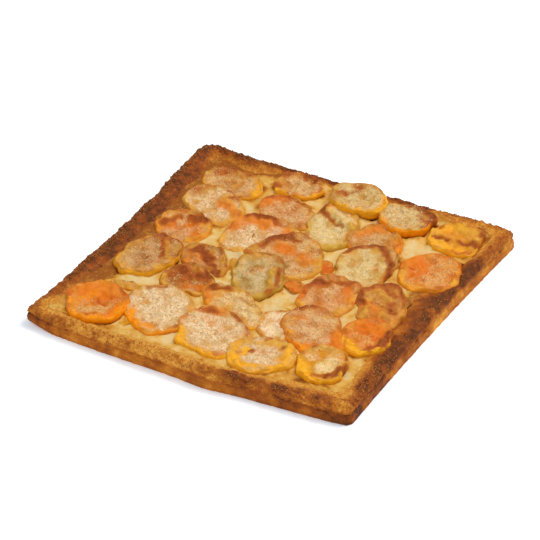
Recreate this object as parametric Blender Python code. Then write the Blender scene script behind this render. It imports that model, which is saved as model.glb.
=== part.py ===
"""A square apricot tart: a folded pastry case, a baked custard in it and apricot halves sunk in the custard.

Lengths in this file are millimetres, and MM turns them into Blender's metres. +Z is up. The origin is on the
table under the tart's middle, +X runs along the front edge and +Y runs from the front edge to the back edge.
"""

import math
from dataclasses import dataclass

import bmesh
import bpy
from mathutils import Vector, noise

MM = 0.001

# The pastry case
TART_SIDE = 250.0
PLAN_MIDDLE = (-0.9, -4.9)  # where the origin is, in the plan that the placements below are measured in
FLOOR_THICKNESS = 4.5
CREASE_HEIGHT = 6.8  # where the folded strip meets the sheet under it
CREASE_DEPTH = 2.2
CORNER_LIFT = 4.0  # the front left corner curls up off the table
CORNER_LIFT_REACH = 26.0
STATIONS = 76  # points round the case
CORNER_CROWDING = 0.55  # how much closer together they are near the corners
CASE_ROWS = 13  # rings of points, from the underside's middle over the rim to the floor's edge
RIM_CRAG = 1.0  # depth of the crust's lumps
CRAG_SIZE = 11.0

# The custard
CUSTARD_LEVEL = 10.8
CUSTARD_ROWS = 7
CUSTARD_SWELL = 0.8
SWELL_SIZE = 26.0

# Clear space between neighbouring solids
GAP = 0.38

# The apricot halves
FACE_SHARE = 3 / 7  # share of the sphere's latitude that becomes the cut face
ROLL_SHARE = 0.25  # share of the rest that rolls over the lip
LIP_RING = 0.93  # the lip's crest, as a share of the outline
LIP_ROLL = 2.4
BOWL_POWER = 2.6  # how late the face starts to climb to its lip
SKIN_POWER = 0.7  # how steeply the skin drops from the lip
UNDERSIDE = FLOOR_THICKNESS + 2.0
OUTLINE_WOBBLE = 0.085
BACK = 112.0  # the way that the pieces lie over one another, in degrees from +X
REACH_POWER = 1.5  # how narrowly a back edge reaches out
AROUND = 14
UP_AND_DOWN = 7
SMALL_LENGTH = 20.0  # a piece shorter than this gets fewer faces
SHORTEST_EDGE = 0.02


@dataclass(frozen=True)
class Side:
    """One side of the pastry, going round anticlockwise from above.

    start, middle, end: the rim's width. crest: the rim's height in the middle of the side. bow: how far
    the side bulges out. bump, bump_at: a local bulge and its place along the side, 0 to 1.
    """

    start: float
    middle: float
    end: float
    crest: float
    bow: float
    bump: float = 0.0
    bump_at: float = 0.5


@dataclass(frozen=True)
class Corner:
    """One corner of the pastry: how square it is, its height and how far it stands out."""

    power: float
    crest: float
    out: float


BUMP_SHARE = 0.08  # a local bulge's half length, as a share of the side
SIDES = (
    Side(14, 12, 18, 15.0, 6.0, 2.5, 0.58),  # front
    Side(17, 22, 12, 14.0, -2.5),  # right
    Side(12, 10, 15, 13.5, -0.5, -4.0, 0.84),  # back
    Side(17, 20, 17, 12.5, -2.0),  # left
)
CORNERS = (
    Corner(60, 13.0, 0.8),  # front left
    Corner(50, 14.0, 1.8),  # front right
    Corner(60, 15.0, 2.2),  # back right
    Corner(28, 17.0, 2.5),  # back left
)


@dataclass(frozen=True)
class Ridge:
    """A fold or curled edge that stands up on a cut face, between two points of the tart's plan."""

    x0: float
    y0: float
    x1: float
    y1: float
    height: float
    width: float


@dataclass(frozen=True)
class Pull:
    """A corner that stands out from a piece's outline.

    to: its direction in the plan, in degrees. out: how far. spread: its half width, in degrees.
    """

    to: float
    out: float
    spread: float


@dataclass(frozen=True)
class Apricot:
    """One piece of apricot, cut face up.

    x, y, turn: the middle and the long axis, in plan. length, width: across the lip. lip: the lip's height
    over the table. rise, rise_to: how much higher the lip stands in one direction, in degrees from +X.
    tilt: how much the whole piece climbs in that direction, over its half width. dish: how deep the face
    sinks. squareness: 2 is an ellipse, and more is nearer a rectangle. reach: how far its back edge lies out
    over its neighbours.
    """

    name: str
    x: float
    y: float
    length: float
    width: float
    turn: float
    lip: float
    rise: float = 0.0
    rise_to: float = 100.0
    tilt: float = 0.0
    dish: float = 2.0
    squareness: float = 2.3
    ridges: tuple = ()
    pulls: tuple = ()
    reach: float = 2.6


# From the lowest to the highest: a piece is notched where a later one lies over it.
APRICOTS = (
    Apricot("apricot_01", -83, 87, 48, 31, -4, 14.0, rise=1.0, tilt=1.0, dish=1.0,
            pulls=(Pull(327, 3.0, 30),), reach=0.0),
    Apricot("apricot_02", -79, 53, 54, 36, -38, 13.5, rise=0.5, tilt=1.0, dish=1.5,
            ridges=(Ridge(-76, 65, -58, 49, 3.0, 4.0),)),
    Apricot("apricot_03", -36, 104, 40, 29, 0, 15.5, rise=1.0, tilt=0.5, dish=3.0, reach=0.0),
    Apricot("apricot_04", -27, 69, 48, 32, -15, 13.7, rise=1.0, rise_to=120, tilt=1.2,
            pulls=(Pull(230, 3.0, 25),), reach=1.0),
    Apricot("apricot_05", 13, 104, 46, 32, -8, 19.5, rise=1.5, rise_to=70, tilt=1.0,
            pulls=(Pull(80, 3.0, 20),), reach=0.0),
    Apricot("apricot_06", 54, 97, 42, 32, -10, 18.5, rise=1.5, rise_to=55, tilt=0.5,
            pulls=(Pull(29, 2.0, 20),), reach=0.0),
    Apricot("apricot_07", 94, 95, 42, 38, 0, 14.5, rise=0.5, tilt=0.5, dish=1.5,
            ridges=(Ridge(80, 94, 92, 93, 2.8, 3.5), Ridge(100, 95, 113, 98, 2.8, 3.5)), reach=0.0),
    Apricot("apricot_08", 11, 65, 54, 35, 105, 14.5, tilt=0.5, dish=1.5,
            ridges=(Ridge(-3, 85, 24, 71, 4.0, 4.5),)),
    Apricot("apricot_09", 47, 63, 41, 37, 0, 14.5, rise=1.0, tilt=1.0),
    Apricot("apricot_10", 98, 46, 49, 43, 100, 14.5, rise=1.0, tilt=0.5, dish=1.5, reach=0.0),
    Apricot("apricot_11", 55, 30, 54, 39, 108, 14.5, rise=1.5, rise_to=70, tilt=1.0, dish=1.5,
            pulls=(Pull(-45, 4.0, 22), Pull(60, 3.0, 20))),
    Apricot("apricot_12", -33, 29, 43, 45, 10, 13.7, rise=4.0, rise_to=98, tilt=2.0, dish=1.5,
            pulls=(Pull(215, 3.0, 25),), reach=0.0),
    Apricot("apricot_13", 31, 20, 18, 9, -60, 12.5, dish=0.5),
    Apricot("apricot_14", 4, 18, 50, 46, -45, 14.0, rise=3.0, rise_to=130, tilt=1.5, dish=1.5),
    Apricot("apricot_15", -83, 18, 42, 35, -5, 13.5, rise=2.0, rise_to=95, tilt=1.5, dish=1.5, reach=0.0),
    Apricot("apricot_16", -28, -9, 17, 9, -70, 12.5, dish=0.5),
    Apricot("apricot_17", -46, -17, 46, 23, -28, 14.0, rise=5.0, rise_to=66, tilt=2.0, dish=1.0,
            pulls=(Pull(140, 4.0, 15), Pull(60, 3.0, 15))),
    Apricot("apricot_18", -84, -29, 53, 38, 85, 15.5, rise=1.0, rise_to=60, tilt=0.5, dish=1.5),
    Apricot("apricot_19", -43, -84, 54, 46, -35, 14.5, rise=0.5, tilt=0.5, dish=1.0,
            pulls=(Pull(150, 3.0, 20), Pull(290, 2.0, 20))),
    Apricot("apricot_20", -44, -43, 41, 26, -5, 13.7, rise=3.5, rise_to=90, tilt=1.5, dish=1.0),
    Apricot("apricot_21", -4, -17, 56, 36, 112, 15.3, rise=1.0, tilt=0.8, dish=1.0,
            pulls=(Pull(80, 3.0, 20),)),
    Apricot("apricot_22", -1, -57, 54, 30, -28, 14.0, rise=1.0, rise_to=100, tilt=1.0, dish=1.0,
            pulls=(Pull(150, 3.0, 15), Pull(-20, 4.0, 18))),
    Apricot("apricot_23", 5, -92, 60, 44, -30, 14.7, rise=1.0, rise_to=120, tilt=0.7, dish=1.0,
            pulls=(Pull(119, 3.0, 25), Pull(225, 3.0, 25))),
    Apricot("apricot_24", 89, -11, 52, 33, 115, 15.0, rise=1.0, tilt=1.0, dish=1.0,
            pulls=(Pull(100, 4.0, 15),)),
    Apricot("apricot_25", 97, -48, 39, 33, 100, 15.5, rise=1.0, tilt=0.5, dish=1.5),
    Apricot("apricot_26", 51, -16, 46, 40, 80, 14.5, rise=1.5, tilt=1.2, dish=1.0),
    Apricot("apricot_27", 38, -62, 36, 27, 100, 13.5, tilt=0.5, dish=0.8),
    Apricot("apricot_28", 64, -59, 48, 37, -30, 15.0, rise=1.0, rise_to=120, tilt=1.0, dish=0.8,
            pulls=(Pull(-20, 4.0, 18), Pull(270, 3.0, 20), Pull(122, 7.0, 40))),
    Apricot("apricot_29", 45, -100, 45, 37, 20, 14.8, rise=0.5, tilt=0.3, dish=2.0, squareness=3.2),
    Apricot("apricot_30", 86, -91, 40, 33, 115, 15.3, rise=0.5, tilt=0.3, dish=2.0),
    Apricot("apricot_31", -85, -97, 48, 42, -50, 16.0, dish=3.8),
    Apricot("apricot_32", -56, -105, 12, 8, 70, 12.8, dish=0.5),
    Apricot("apricot_33", -82, -68, 30, 9, 12, 12.8, dish=0.5),
    Apricot("apricot_34", 24, -12, 20, 12, -20, 12.5, dish=0.5),
)


def smooth_step(share):
    """0 to 1 with flat ends."""
    share = min(1.0, max(0.0, share))
    return share * share * (3 - 2 * share)


def lump(x, y, z, size):
    """Smooth noise from about -1 to 1, with lumps of about this size."""
    return 2.0 * noise.noise(Vector((x, y, z)) / size)


def to_metres(x, y, z):
    """A point of the plan, in millimetres, as a place in the scene."""
    return Vector((x - PLAN_MIDDLE[0], y - PLAN_MIDDLE[1], z)) * MM


# ---------------------------------------------------------------- the pastry case


def side_and_share(station):
    """Which side a station is on, and how far along it, 0 to 1."""
    along = 4.0 * station / STATIONS
    side = int(along) % 4
    even = 2 * (along - int(along)) - 1
    run = (1 - CORNER_CROWDING) * even + CORNER_CROWDING * math.sin(even * math.pi / 2)
    return side, (run + 1) / 2


def plan_point(station, inset):
    """The point of the tart's plan at this station, this far in from the edge."""
    side, share = side_and_share(station)
    form = SIDES[side]
    run = 2 * share - 1
    near, far = CORNERS[side], CORNERS[(side + 1) % 4]
    power = near.power if share < 0.5 else far.power
    roundness = (1 + abs(run) ** power) ** (1 / power)
    out = near.out + (far.out - near.out) * share
    out += form.bow * math.sin(math.pi * share) ** 0.7
    out += form.bump * math.exp(-(((share - form.bump_at) / BUMP_SHARE) ** 2))
    across = (TART_SIDE / 2 - inset + out) / roundness
    ends = (TART_SIDE / 2 - inset + (near.out if share < 0.5 else far.out)) / roundness
    along = run * ends
    return ((along, -across), (across, along), (-along, across), (-across, -along))[side]


def along_side(station, start, middle, end):
    """A value that is given at both ends and in the middle of the station's side."""
    share = side_and_share(station)[1]
    if share < 0.5:
        return start + (middle - start) * smooth_step(2 * share)
    return middle + (end - middle) * smooth_step(2 * share - 1)


def rim_width(station):
    """How far the rim reaches in from the tart's edge, to the custard."""
    form = SIDES[side_and_share(station)[0]]
    x, y = plan_point(station, 0)
    return along_side(station, form.start, form.middle, form.end) + 1.5 * lump(x, y, 40, 30)


def rim_crest(station):
    """The height of the top of the rim."""
    side = side_and_share(station)[0]
    x, y = plan_point(station, 0)
    crest = along_side(station, CORNERS[side].crest, SIDES[side].crest, CORNERS[(side + 1) % 4].crest)
    return crest + 0.6 * lump(x, y, 9, 24)


def corner_lift(station):
    """How far the front left corner is off the table."""
    x, y = plan_point(station, 0)
    away = math.hypot(x + TART_SIDE / 2, y + TART_SIDE / 2)
    return CORNER_LIFT * (1 - smooth_step(away / CORNER_LIFT_REACH))


def wall_inset(station, height):
    """How far in the rim's inner face is, at a height from the floor up to the custard's edge."""
    return rim_width(station) + 0.55 * (CUSTARD_LEVEL - height)


def case_profile(station):
    """(inset, height, crag) from the middle of the underside, over the rim and down to the floor's edge."""
    width = rim_width(station)
    crest = rim_crest(station)
    lift = corner_lift(station)
    thickness = 1 - 0.3 * lift / CORNER_LIFT
    x, y = plan_point(station, 0)
    bulge = 0.7 * lump(x, y, 21, 16)
    outside = (
        (30.0, 0.0, 0.0),
        (2.0, 0.0, 0.0),
        (0.4, 1.0, 0.3),
        (0.2, 3.2, 0.5),
        (0.7, CREASE_HEIGHT - 1.2, 0.5),
        (CREASE_DEPTH, CREASE_HEIGHT, 0.2),
        (0.9, CREASE_HEIGHT + 1.4, 0.6),
        (1.0 - bulge, crest - 3.2, 0.8),
        (3.0, crest - 0.8, 1.0),
        (0.3 * width + 2.0, crest, 1.0),
        (0.75 * width, 0.45 * crest + 0.55 * CUSTARD_LEVEL + 0.4, 0.6),
    )
    rows = []
    for row, (inset, height, crag) in enumerate(outside):
        rows.append((inset, (lift if row else 0.15 * lift) + height * thickness, crag))
    rows.append((wall_inset(station, CUSTARD_LEVEL), CUSTARD_LEVEL, 0.0))
    rows.append((wall_inset(station, FLOOR_THICKNESS), FLOOR_THICKNESS, 0.0))
    return rows


def case_point(station, row):
    """The place of one point of the pastry case."""
    inset, height, crag = case_profile(station)[row]
    x, y = plan_point(station, inset)
    rough = RIM_CRAG * crag * lump(x, y, height * 2, CRAG_SIZE)
    x, y = plan_point(station, inset - 0.8 * rough)
    return to_metres(x, y, max(0.0, height + 0.5 * rough))


def custard_point(station, row):
    """The place of one point of the custard, which keeps clear of the case."""
    edge = wall_inset(station, CUSTARD_LEVEL)
    foot = wall_inset(station, FLOOR_THICKNESS)
    inset, height = (
        (foot + 10, FLOOR_THICKNESS + GAP),
        (foot + GAP, FLOOR_THICKNESS + GAP),
        (edge + GAP, CUSTARD_LEVEL),
        (edge + 4, CUSTARD_LEVEL + 0.2),
        (edge + 12, CUSTARD_LEVEL),
        (50.0, CUSTARD_LEVEL),
        (85.0, CUSTARD_LEVEL),
    )[row]
    x, y = plan_point(station, inset)
    if row > 2:
        height += CUSTARD_SWELL * lump(x, y, 5, SWELL_SIZE)
    return to_metres(x, y, height)


def ring_solid(name, place, rows):
    """A closed solid lofted through rings of stations, flat at its first and last ring.

    The first ring is a filled circle. Each next ring is extruded from the last one and put in its place.
    """
    bm = bmesh.new()
    first = bmesh.ops.create_circle(bm, cap_ends=True, segments=STATIONS, radius=1.0)["verts"]
    face = bm.faces[:][0]
    base = bmesh.ops.extrude_face_region(bm, geom=[face], use_keep_orig=True)
    ring = [v for v in base["geom"] if isinstance(v, bmesh.types.BMVert)]
    order = [sorted(first, key=turn_of), sorted(ring, key=turn_of)]
    top = next(f for f in base["geom"] if isinstance(f, bmesh.types.BMFace))
    while len(order) < rows:
        more = bmesh.ops.extrude_discrete_faces(bm, faces=[top])["faces"]
        top = more[0]
        order.append(sorted(top.verts, key=turn_of))
    for row, verts in enumerate(order):
        for station, vert in enumerate(verts):
            vert.co = place(station, row)
    bmesh.ops.recalc_face_normals(bm, faces=bm.faces[:])
    return object_of(name, bm)


def turn_of(vert):
    """A vertex's angle round the Z axis, from the front left corner."""
    return (math.atan2(vert.co.y, vert.co.x) - 1.25 * math.pi) % (2 * math.pi)


# ---------------------------------------------------------------- the apricots


def outline_radius(piece, angle):
    """The lip's distance from the piece's middle, in a direction of the piece's own frame."""
    power = piece.squareness
    along = abs(math.cos(angle)) / (piece.length / 2)
    across = abs(math.sin(angle)) / (piece.width / 2)
    radius = (along**power + across**power) ** (-1 / power)
    wobble = lump(2 * math.cos(angle) + piece.x, 2 * math.sin(angle) + piece.y, 3, 1.6)
    radius *= 1 + OUTLINE_WOBBLE * wobble
    if piece.length > SMALL_LENGTH:
        backward = 0.5 + 0.5 * math.cos(angle + math.radians(piece.turn - BACK))
        radius += piece.reach * backward**REACH_POWER
    for pull in piece.pulls:
        away = (math.degrees(angle) + piece.turn - pull.to + 180) % 360 - 180
        radius += pull.out * math.exp(-((away / pull.spread) ** 2))
    return radius


def ridge_height(ridge, x, y):
    """How much a ridge adds to the face at a point of the plan."""
    start, end, point = Vector((ridge.x0, ridge.y0)), Vector((ridge.x1, ridge.y1)), Vector((x, y))
    along = end - start
    share = min(1.0, max(0.0, (point - start).dot(along) / along.length_squared))
    away = (point - start - share * along).length
    return ridge.height * math.exp(-((away / ridge.width) ** 2))


def apricot_point(piece, latitude, angle, grow):
    """A point of the piece: latitude 0 is the face's middle, FACE_SHARE the lip, 1 the underside's middle."""
    turn = math.radians(piece.turn)
    radius = outline_radius(piece, angle) + grow
    towards = math.cos(angle + turn - math.radians(piece.rise_to))
    lip = piece.lip + piece.rise * max(0.0, towards) ** 2
    if latitude <= FACE_SHARE:
        out = LIP_RING * latitude / FACE_SHARE
        bowl = (out / LIP_RING) ** BOWL_POWER
        middle = piece.lip + 0.3 * piece.rise - piece.dish
        height = middle + (lip - middle) * bowl
    else:
        under = (latitude - FACE_SHARE) / (1 - FACE_SHARE)
        if under < ROLL_SHARE:
            roll = under / ROLL_SHARE * math.pi / 2
            out = LIP_RING + (1 - LIP_RING) * math.sin(roll)
            height = lip - LIP_ROLL * (1 - math.cos(roll))
        else:
            bend = (under - ROLL_SHARE) / (1 - ROLL_SHARE) * math.pi / 2
            out = max(0.0, math.cos(bend)) ** SKIN_POWER
            shoulder = lip - LIP_ROLL
            height = shoulder - (shoulder - UNDERSIDE) * math.sin(bend)
    out *= radius
    x = piece.x + out * math.cos(angle + turn)
    y = piece.y + out * math.sin(angle + turn)
    height += piece.tilt * towards * out / radius
    if latitude <= FACE_SHARE:
        height += sum(ridge_height(ridge, x, y) for ridge in piece.ridges)
    height += grow if latitude <= FACE_SHARE else grow * math.cos(math.pi * under)
    return to_metres(x, y, max(UNDERSIDE - grow, height))


def apricot_mesh(name, piece, grow=0.0):
    """The piece as a sphere whose points are moved on to its face, lip and skin."""
    small = piece.length <= SMALL_LENGTH
    bm = bmesh.new()
    bmesh.ops.create_uvsphere(
        bm, u_segments=AROUND // 2 if small else AROUND, v_segments=UP_AND_DOWN, radius=1.0
    )
    for vert in bm.verts:
        latitude = math.acos(max(-1.0, min(1.0, vert.co.z))) / math.pi
        angle = math.atan2(vert.co.y, vert.co.x)
        vert.co = apricot_point(piece, latitude, angle, grow)
    return object_of(name, bm)


# ---------------------------------------------------------------- objects and cuts


def object_of(name, bm):
    """Turns a bmesh into an object in the scene and frees it."""
    mesh = bpy.data.meshes.new(name)
    bm.to_mesh(mesh)
    bm.free()
    made = bpy.data.objects.new(name, mesh)
    bpy.context.scene.collection.objects.link(made)
    return made


def overlaps(one, other):
    """Whether the boxes round two objects share any space."""
    for axis in range(3):
        a = [corner[axis] for corner in one.bound_box]
        b = [corner[axis] for corner in other.bound_box]
        if max(a) < min(b) or max(b) < min(a):
            return False
    return True


def cut_away(body, cutters):
    """Takes the cutters out of the body and keeps the largest piece that is left."""
    for cutter in cutters:
        if overlaps(body, cutter):
            cut = body.modifiers.new(cutter.name, "BOOLEAN")
            cut.operation = "DIFFERENCE"
            cut.solver = "EXACT"
            cut.object = cutter
    bpy.context.view_layer.update()
    shaped = body.evaluated_get(bpy.context.evaluated_depsgraph_get())
    body.data = bpy.data.meshes.new_from_object(shaped)
    body.modifiers.clear()
    bm = bmesh.new()
    bm.from_mesh(body.data)
    keep = max(islands(bm), key=len)
    bmesh.ops.delete(bm, geom=[f for f in bm.faces if f not in keep], context="FACES")
    bmesh.ops.delete(bm, geom=[v for v in bm.verts if not v.link_faces], context="VERTS")
    bmesh.ops.dissolve_degenerate(bm, dist=SHORTEST_EDGE * MM, edges=bm.edges[:])
    bmesh.ops.triangulate(bm, faces=[f for f in bm.faces if len(f.verts) > 4])
    bm.to_mesh(body.data)
    bm.free()


def islands(bm):
    """The sets of faces that hang together."""
    left = set(bm.faces)
    found = []
    while left:
        reached = {left.pop()}
        edge = list(reached)
        while edge:
            for side in edge.pop().edges:
                for face in side.link_faces:
                    if face in left:
                        left.discard(face)
                        reached.add(face)
                        edge.append(face)
        found.append(reached)
    return found


def finish(name, color, roughness):
    """A plain surface for one kind of material."""
    made = bpy.data.materials.new(name)
    made.use_nodes = True
    surface = made.node_tree.nodes["Principled BSDF"]
    surface.inputs["Base Color"].default_value = (*color, 1.0)
    surface.inputs["Roughness"].default_value = roughness
    return made


def main():
    for old in list(bpy.data.objects):
        bpy.data.objects.remove(old)
    tart = bpy.data.collections.new("apricot_tart")
    bpy.context.scene.collection.children.link(tart)
    pastry = finish("baked_pastry", (0.42, 0.19, 0.06), 0.7)
    cream = finish("baked_custard", (0.86, 0.70, 0.34), 0.4)
    fruit = finish("baked_apricot", (0.82, 0.42, 0.12), 0.5)

    case = ring_solid("pastry_case", case_point, CASE_ROWS)
    custard = ring_solid("custard", custard_point, CUSTARD_ROWS)
    halves = [apricot_mesh(piece.name, piece) for piece in APRICOTS]
    cutters = [apricot_mesh("cutter_" + piece.name, piece, GAP) for piece in APRICOTS]
    bpy.context.view_layer.update()
    cut_away(case, cutters)
    cut_away(custard, cutters)
    for place, half in enumerate(halves):
        cut_away(half, cutters[place + 1 :])
    for cutter in cutters:
        bpy.data.objects.remove(cutter)

    for made, surface in [(case, pastry), (custard, cream), *((half, fruit) for half in halves)]:
        made.data.materials.clear()
        made.data.materials.append(surface)
        bpy.context.scene.collection.objects.unlink(made)
        tart.objects.link(made)


if __name__ == "__main__":
    main()
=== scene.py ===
"""A square apricot tart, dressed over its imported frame.

A folded puff pastry case with a rough browned rim holds a set custard, and apricot halves lie in it with their
cut faces up. Sugar and crumbs are scattered over it. Places are millimetres in the tart's plan: +X runs along
the front edge and +Y from the front edge to the back.
"""

import logging
import math
import random
from dataclasses import dataclass
from enum import Enum
from functools import partial
from typing import Callable, Iterator, Sequence, Union

import bmesh
import bpy
import numpy as np
from mathutils import Matrix, Vector, noise


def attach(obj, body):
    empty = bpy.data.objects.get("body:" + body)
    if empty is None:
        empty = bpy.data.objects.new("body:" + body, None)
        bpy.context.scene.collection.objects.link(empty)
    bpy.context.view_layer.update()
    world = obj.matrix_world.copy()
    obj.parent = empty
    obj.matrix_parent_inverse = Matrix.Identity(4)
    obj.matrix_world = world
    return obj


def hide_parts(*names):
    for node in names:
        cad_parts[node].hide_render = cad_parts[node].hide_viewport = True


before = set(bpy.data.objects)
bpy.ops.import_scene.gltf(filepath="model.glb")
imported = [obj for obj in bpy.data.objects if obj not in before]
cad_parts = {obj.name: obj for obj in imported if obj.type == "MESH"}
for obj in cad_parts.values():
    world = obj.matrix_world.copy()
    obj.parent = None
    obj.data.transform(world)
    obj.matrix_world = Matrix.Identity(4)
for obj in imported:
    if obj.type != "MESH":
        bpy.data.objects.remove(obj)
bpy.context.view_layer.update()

log = logging.getLogger("apricot_tart")

MM = 0.001
# directions in the plan, in degrees: the custard stands lowest at a piece's front, and its flesh spreads back
FRONT = -65.0
BACK = 112.0
# what is taken off a place in the plan to give its place in the scene
PLAN_MIDDLE = np.array([-0.9, -4.9, 0.0])
Color = tuple[float, float, float]
Verts = Sequence[bmesh.types.BMVert]


# ---- numbers and noise


def ease(share: Union[float, np.ndarray]) -> np.ndarray:
    """Rise from 0 to 1 with flat ends."""
    share = np.clip(share, 0.0, 1.0)
    return share * share * (3 - 2 * share)


def lump(x: float, y: float, z: float, size: float) -> float:
    """Smooth noise at one point, from about -1 to 1, with lumps of this size."""
    return 2.0 * noise.noise(Vector((x, y, z)) / size)


def lumps(points: np.ndarray, size: float, seed: float = 0.0) -> np.ndarray:
    """Smooth noise at many points.

    Args:
        points: an n by 3 array.
        size: the size of the lumps.
        seed: moves the pattern, so that two calls differ.

    Returns:
        n values from about -1 to 1.
    """
    return np.array([2.0 * noise.noise(Vector(row)) for row in (points / size + seed).tolist()])


def creases(points: np.ndarray, size: float, seed: float = 0.0) -> np.ndarray:
    """Noise with sharp folds: 1 along thin winding lines and 0 or less away from them."""
    return 1.0 - 2.2 * np.abs(lumps(points, size, seed))


def layered(points: np.ndarray, *layers: tuple[float, float, float]) -> np.ndarray:
    """Lumps of several kinds added up, each with its depth, size and seed."""
    return sum(depth * lumps(points, size, seed) for depth, size, seed in layers)


def spot(away: np.ndarray, reach: Union[float, np.ndarray], power: float = 2) -> np.ndarray:
    """1 at no distance, falling to 0 over a reach."""
    return np.exp(-((away / reach) ** power))


# ---- shader maths


Value = Union[float, "Socket"]


def operation(name: str, reflected: bool = False) -> Callable[["Socket", Value], "Socket"]:
    """An operator of Socket.

    Args:
        name: the Math node's operation.
        reflected: whether the socket is the second value.

    Returns:
        A method that adds the node.
    """

    def method(self: "Socket", other: Value) -> "Socket":
        """Add the node."""
        values = {0: other, 1: self} if reflected else {0: self, 1: other}
        return self.shader.node("ShaderNodeMath", {"operation": name}, values)

    return method


class Socket:
    """An output of a shader node that Python's operators work on."""

    def __init__(self, shader: "Shader", output: bpy.types.NodeSocket) -> None:
        """Wrap one output of one of the shader's nodes."""
        self.shader = shader
        self.output = output

    __add__ = __radd__ = operation("ADD")
    __mul__ = __rmul__ = operation("MULTIPLY")
    __sub__ = operation("SUBTRACT")
    __rsub__ = operation("SUBTRACT", reflected=True)

    def between(self, low: float, high: float) -> "Socket":
        """0 at low and 1 at high, eased and held outside them."""
        values = {"Value": self, "From Min": low, "From Max": high}
        return self.shader.node("ShaderNodeMapRange", {"interpolation_type": "SMOOTHSTEP"}, values)


class Shader:
    """Builds one material from a Principled surface."""

    def __init__(self, name: str) -> None:
        """Make a material with this name.

        Args:
            name: what the material is called.
        """
        self.material = bpy.data.materials.new(name)
        self.material.use_nodes = True
        self.tree = self.material.node_tree
        self.surface = self.tree.nodes["Principled BSDF"]
        self.place = self.node("ShaderNodeTexCoord", {}, {}, "Object")

    def node(
        self, kind: str, settings: dict[str, object], values: dict[object, object], out: Union[int, str] = 0
    ) -> Socket:
        """Add a node, set it up and link its inputs.

        Args:
            kind: the node's type.
            settings: properties that are set first.
            values: input name or number to a number, a colour or a Socket.
            out: which output to return.

        Returns:
            The chosen output.
        """
        made = self.tree.nodes.new(kind)
        for key, value in settings.items():
            setattr(made, key, value)
        for key, value in values.items():
            self.feed(made.inputs[key], value)
        return Socket(self, made.outputs[out])

    def feed(self, target: bpy.types.NodeSocket, value: object) -> None:
        """Link a Socket to an input, or set a constant on it."""
        if isinstance(value, Socket):
            self.tree.links.new(value.output, target)
        elif isinstance(value, tuple) and target.type == "RGBA":
            target.default_value = (*value, 1.0)
        else:
            target.default_value = value

    def attribute(self, name: str) -> Socket:
        """A number that the mesh carries at its points."""
        return self.node("ShaderNodeAttribute", {"attribute_name": name}, {}, "Fac")

    def noise(self, size: float, detail: float = 2.0, roughness: float = 0.5, w: float = 0.0) -> Socket:
        """Noise with features of this size in millimetres, around 0.5.

        Args:
            size: the size of a feature, in millimetres.
            detail: how many finer layers it has.
            roughness: how strong the finer layers are.
            w: which of many such patterns it is.

        Returns:
            The value, 0 to 1.
        """
        values = {"Vector": self.place, "W": w, "Scale": 1 / (size * MM), "Detail": detail}
        values["Roughness"] = roughness
        return self.node("ShaderNodeTexNoise", {"noise_dimensions": "4D"}, values)

    def cells(self, size: float) -> Socket:
        """The distance from the middles of cells of this size in millimetres."""
        return self.node("ShaderNodeTexVoronoi", {}, {"Vector": self.place, "Scale": 1 / (size * MM)})

    def mix(self, share: Value, first: object, second: object) -> Socket:
        """Blend two colours: a share of 0 gives the first and 1 the second."""
        settings = {"data_type": "RGBA", "clamp_factor": True}
        return self.node("ShaderNodeMix", settings, {0: share, 6: first, 7: second}, 2)

    def ramp(self, share: Socket, stops: Sequence[tuple[float, Color]]) -> Socket:
        """Look a value up in a row of colours.

        Args:
            share: 0 to 1, the place in the row.
            stops: each colour with its place.

        Returns:
            The colour.
        """
        looked_up = self.node("ShaderNodeValToRGB", {}, {0: share})
        elements = looked_up.output.node.color_ramp.elements
        while len(elements) < len(stops):
            elements.new(0.5)
        for element, (position, color) in zip(elements, stops):
            element.position = position
            element.color = (*color, 1.0)
        return looked_up

    def finish(
        self, color: Socket, roughness: Value, height: Socket, depth: float, specular: float,
        inside: tuple[float, float] = (0.0, 0.0),
    ) -> bpy.types.Material:
        """Feed the surface.

        Args:
            color: the base colour.
            roughness: the roughness.
            height: the relief, from 0 to 1.
            depth: what a height of 1 stands for, in millimetres.
            specular: the share of light that is mirrored.
            inside: the share of light that passes through the surface, and how far, in metres.

        Returns:
            The finished material.
        """
        normal = self.node("ShaderNodeBump", {}, {"Strength": 1.0, "Distance": depth * MM, "Height": height})
        values = {"Base Color": color, "Roughness": roughness, "Normal": normal}
        values |= {"Specular IOR Level": specular}
        values |= {"Subsurface Weight": inside[0], "Subsurface Scale": inside[1]}
        for key, value in values.items():
            self.feed(self.surface.inputs[key], value)
        return self.material


# ---- finishes


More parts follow.
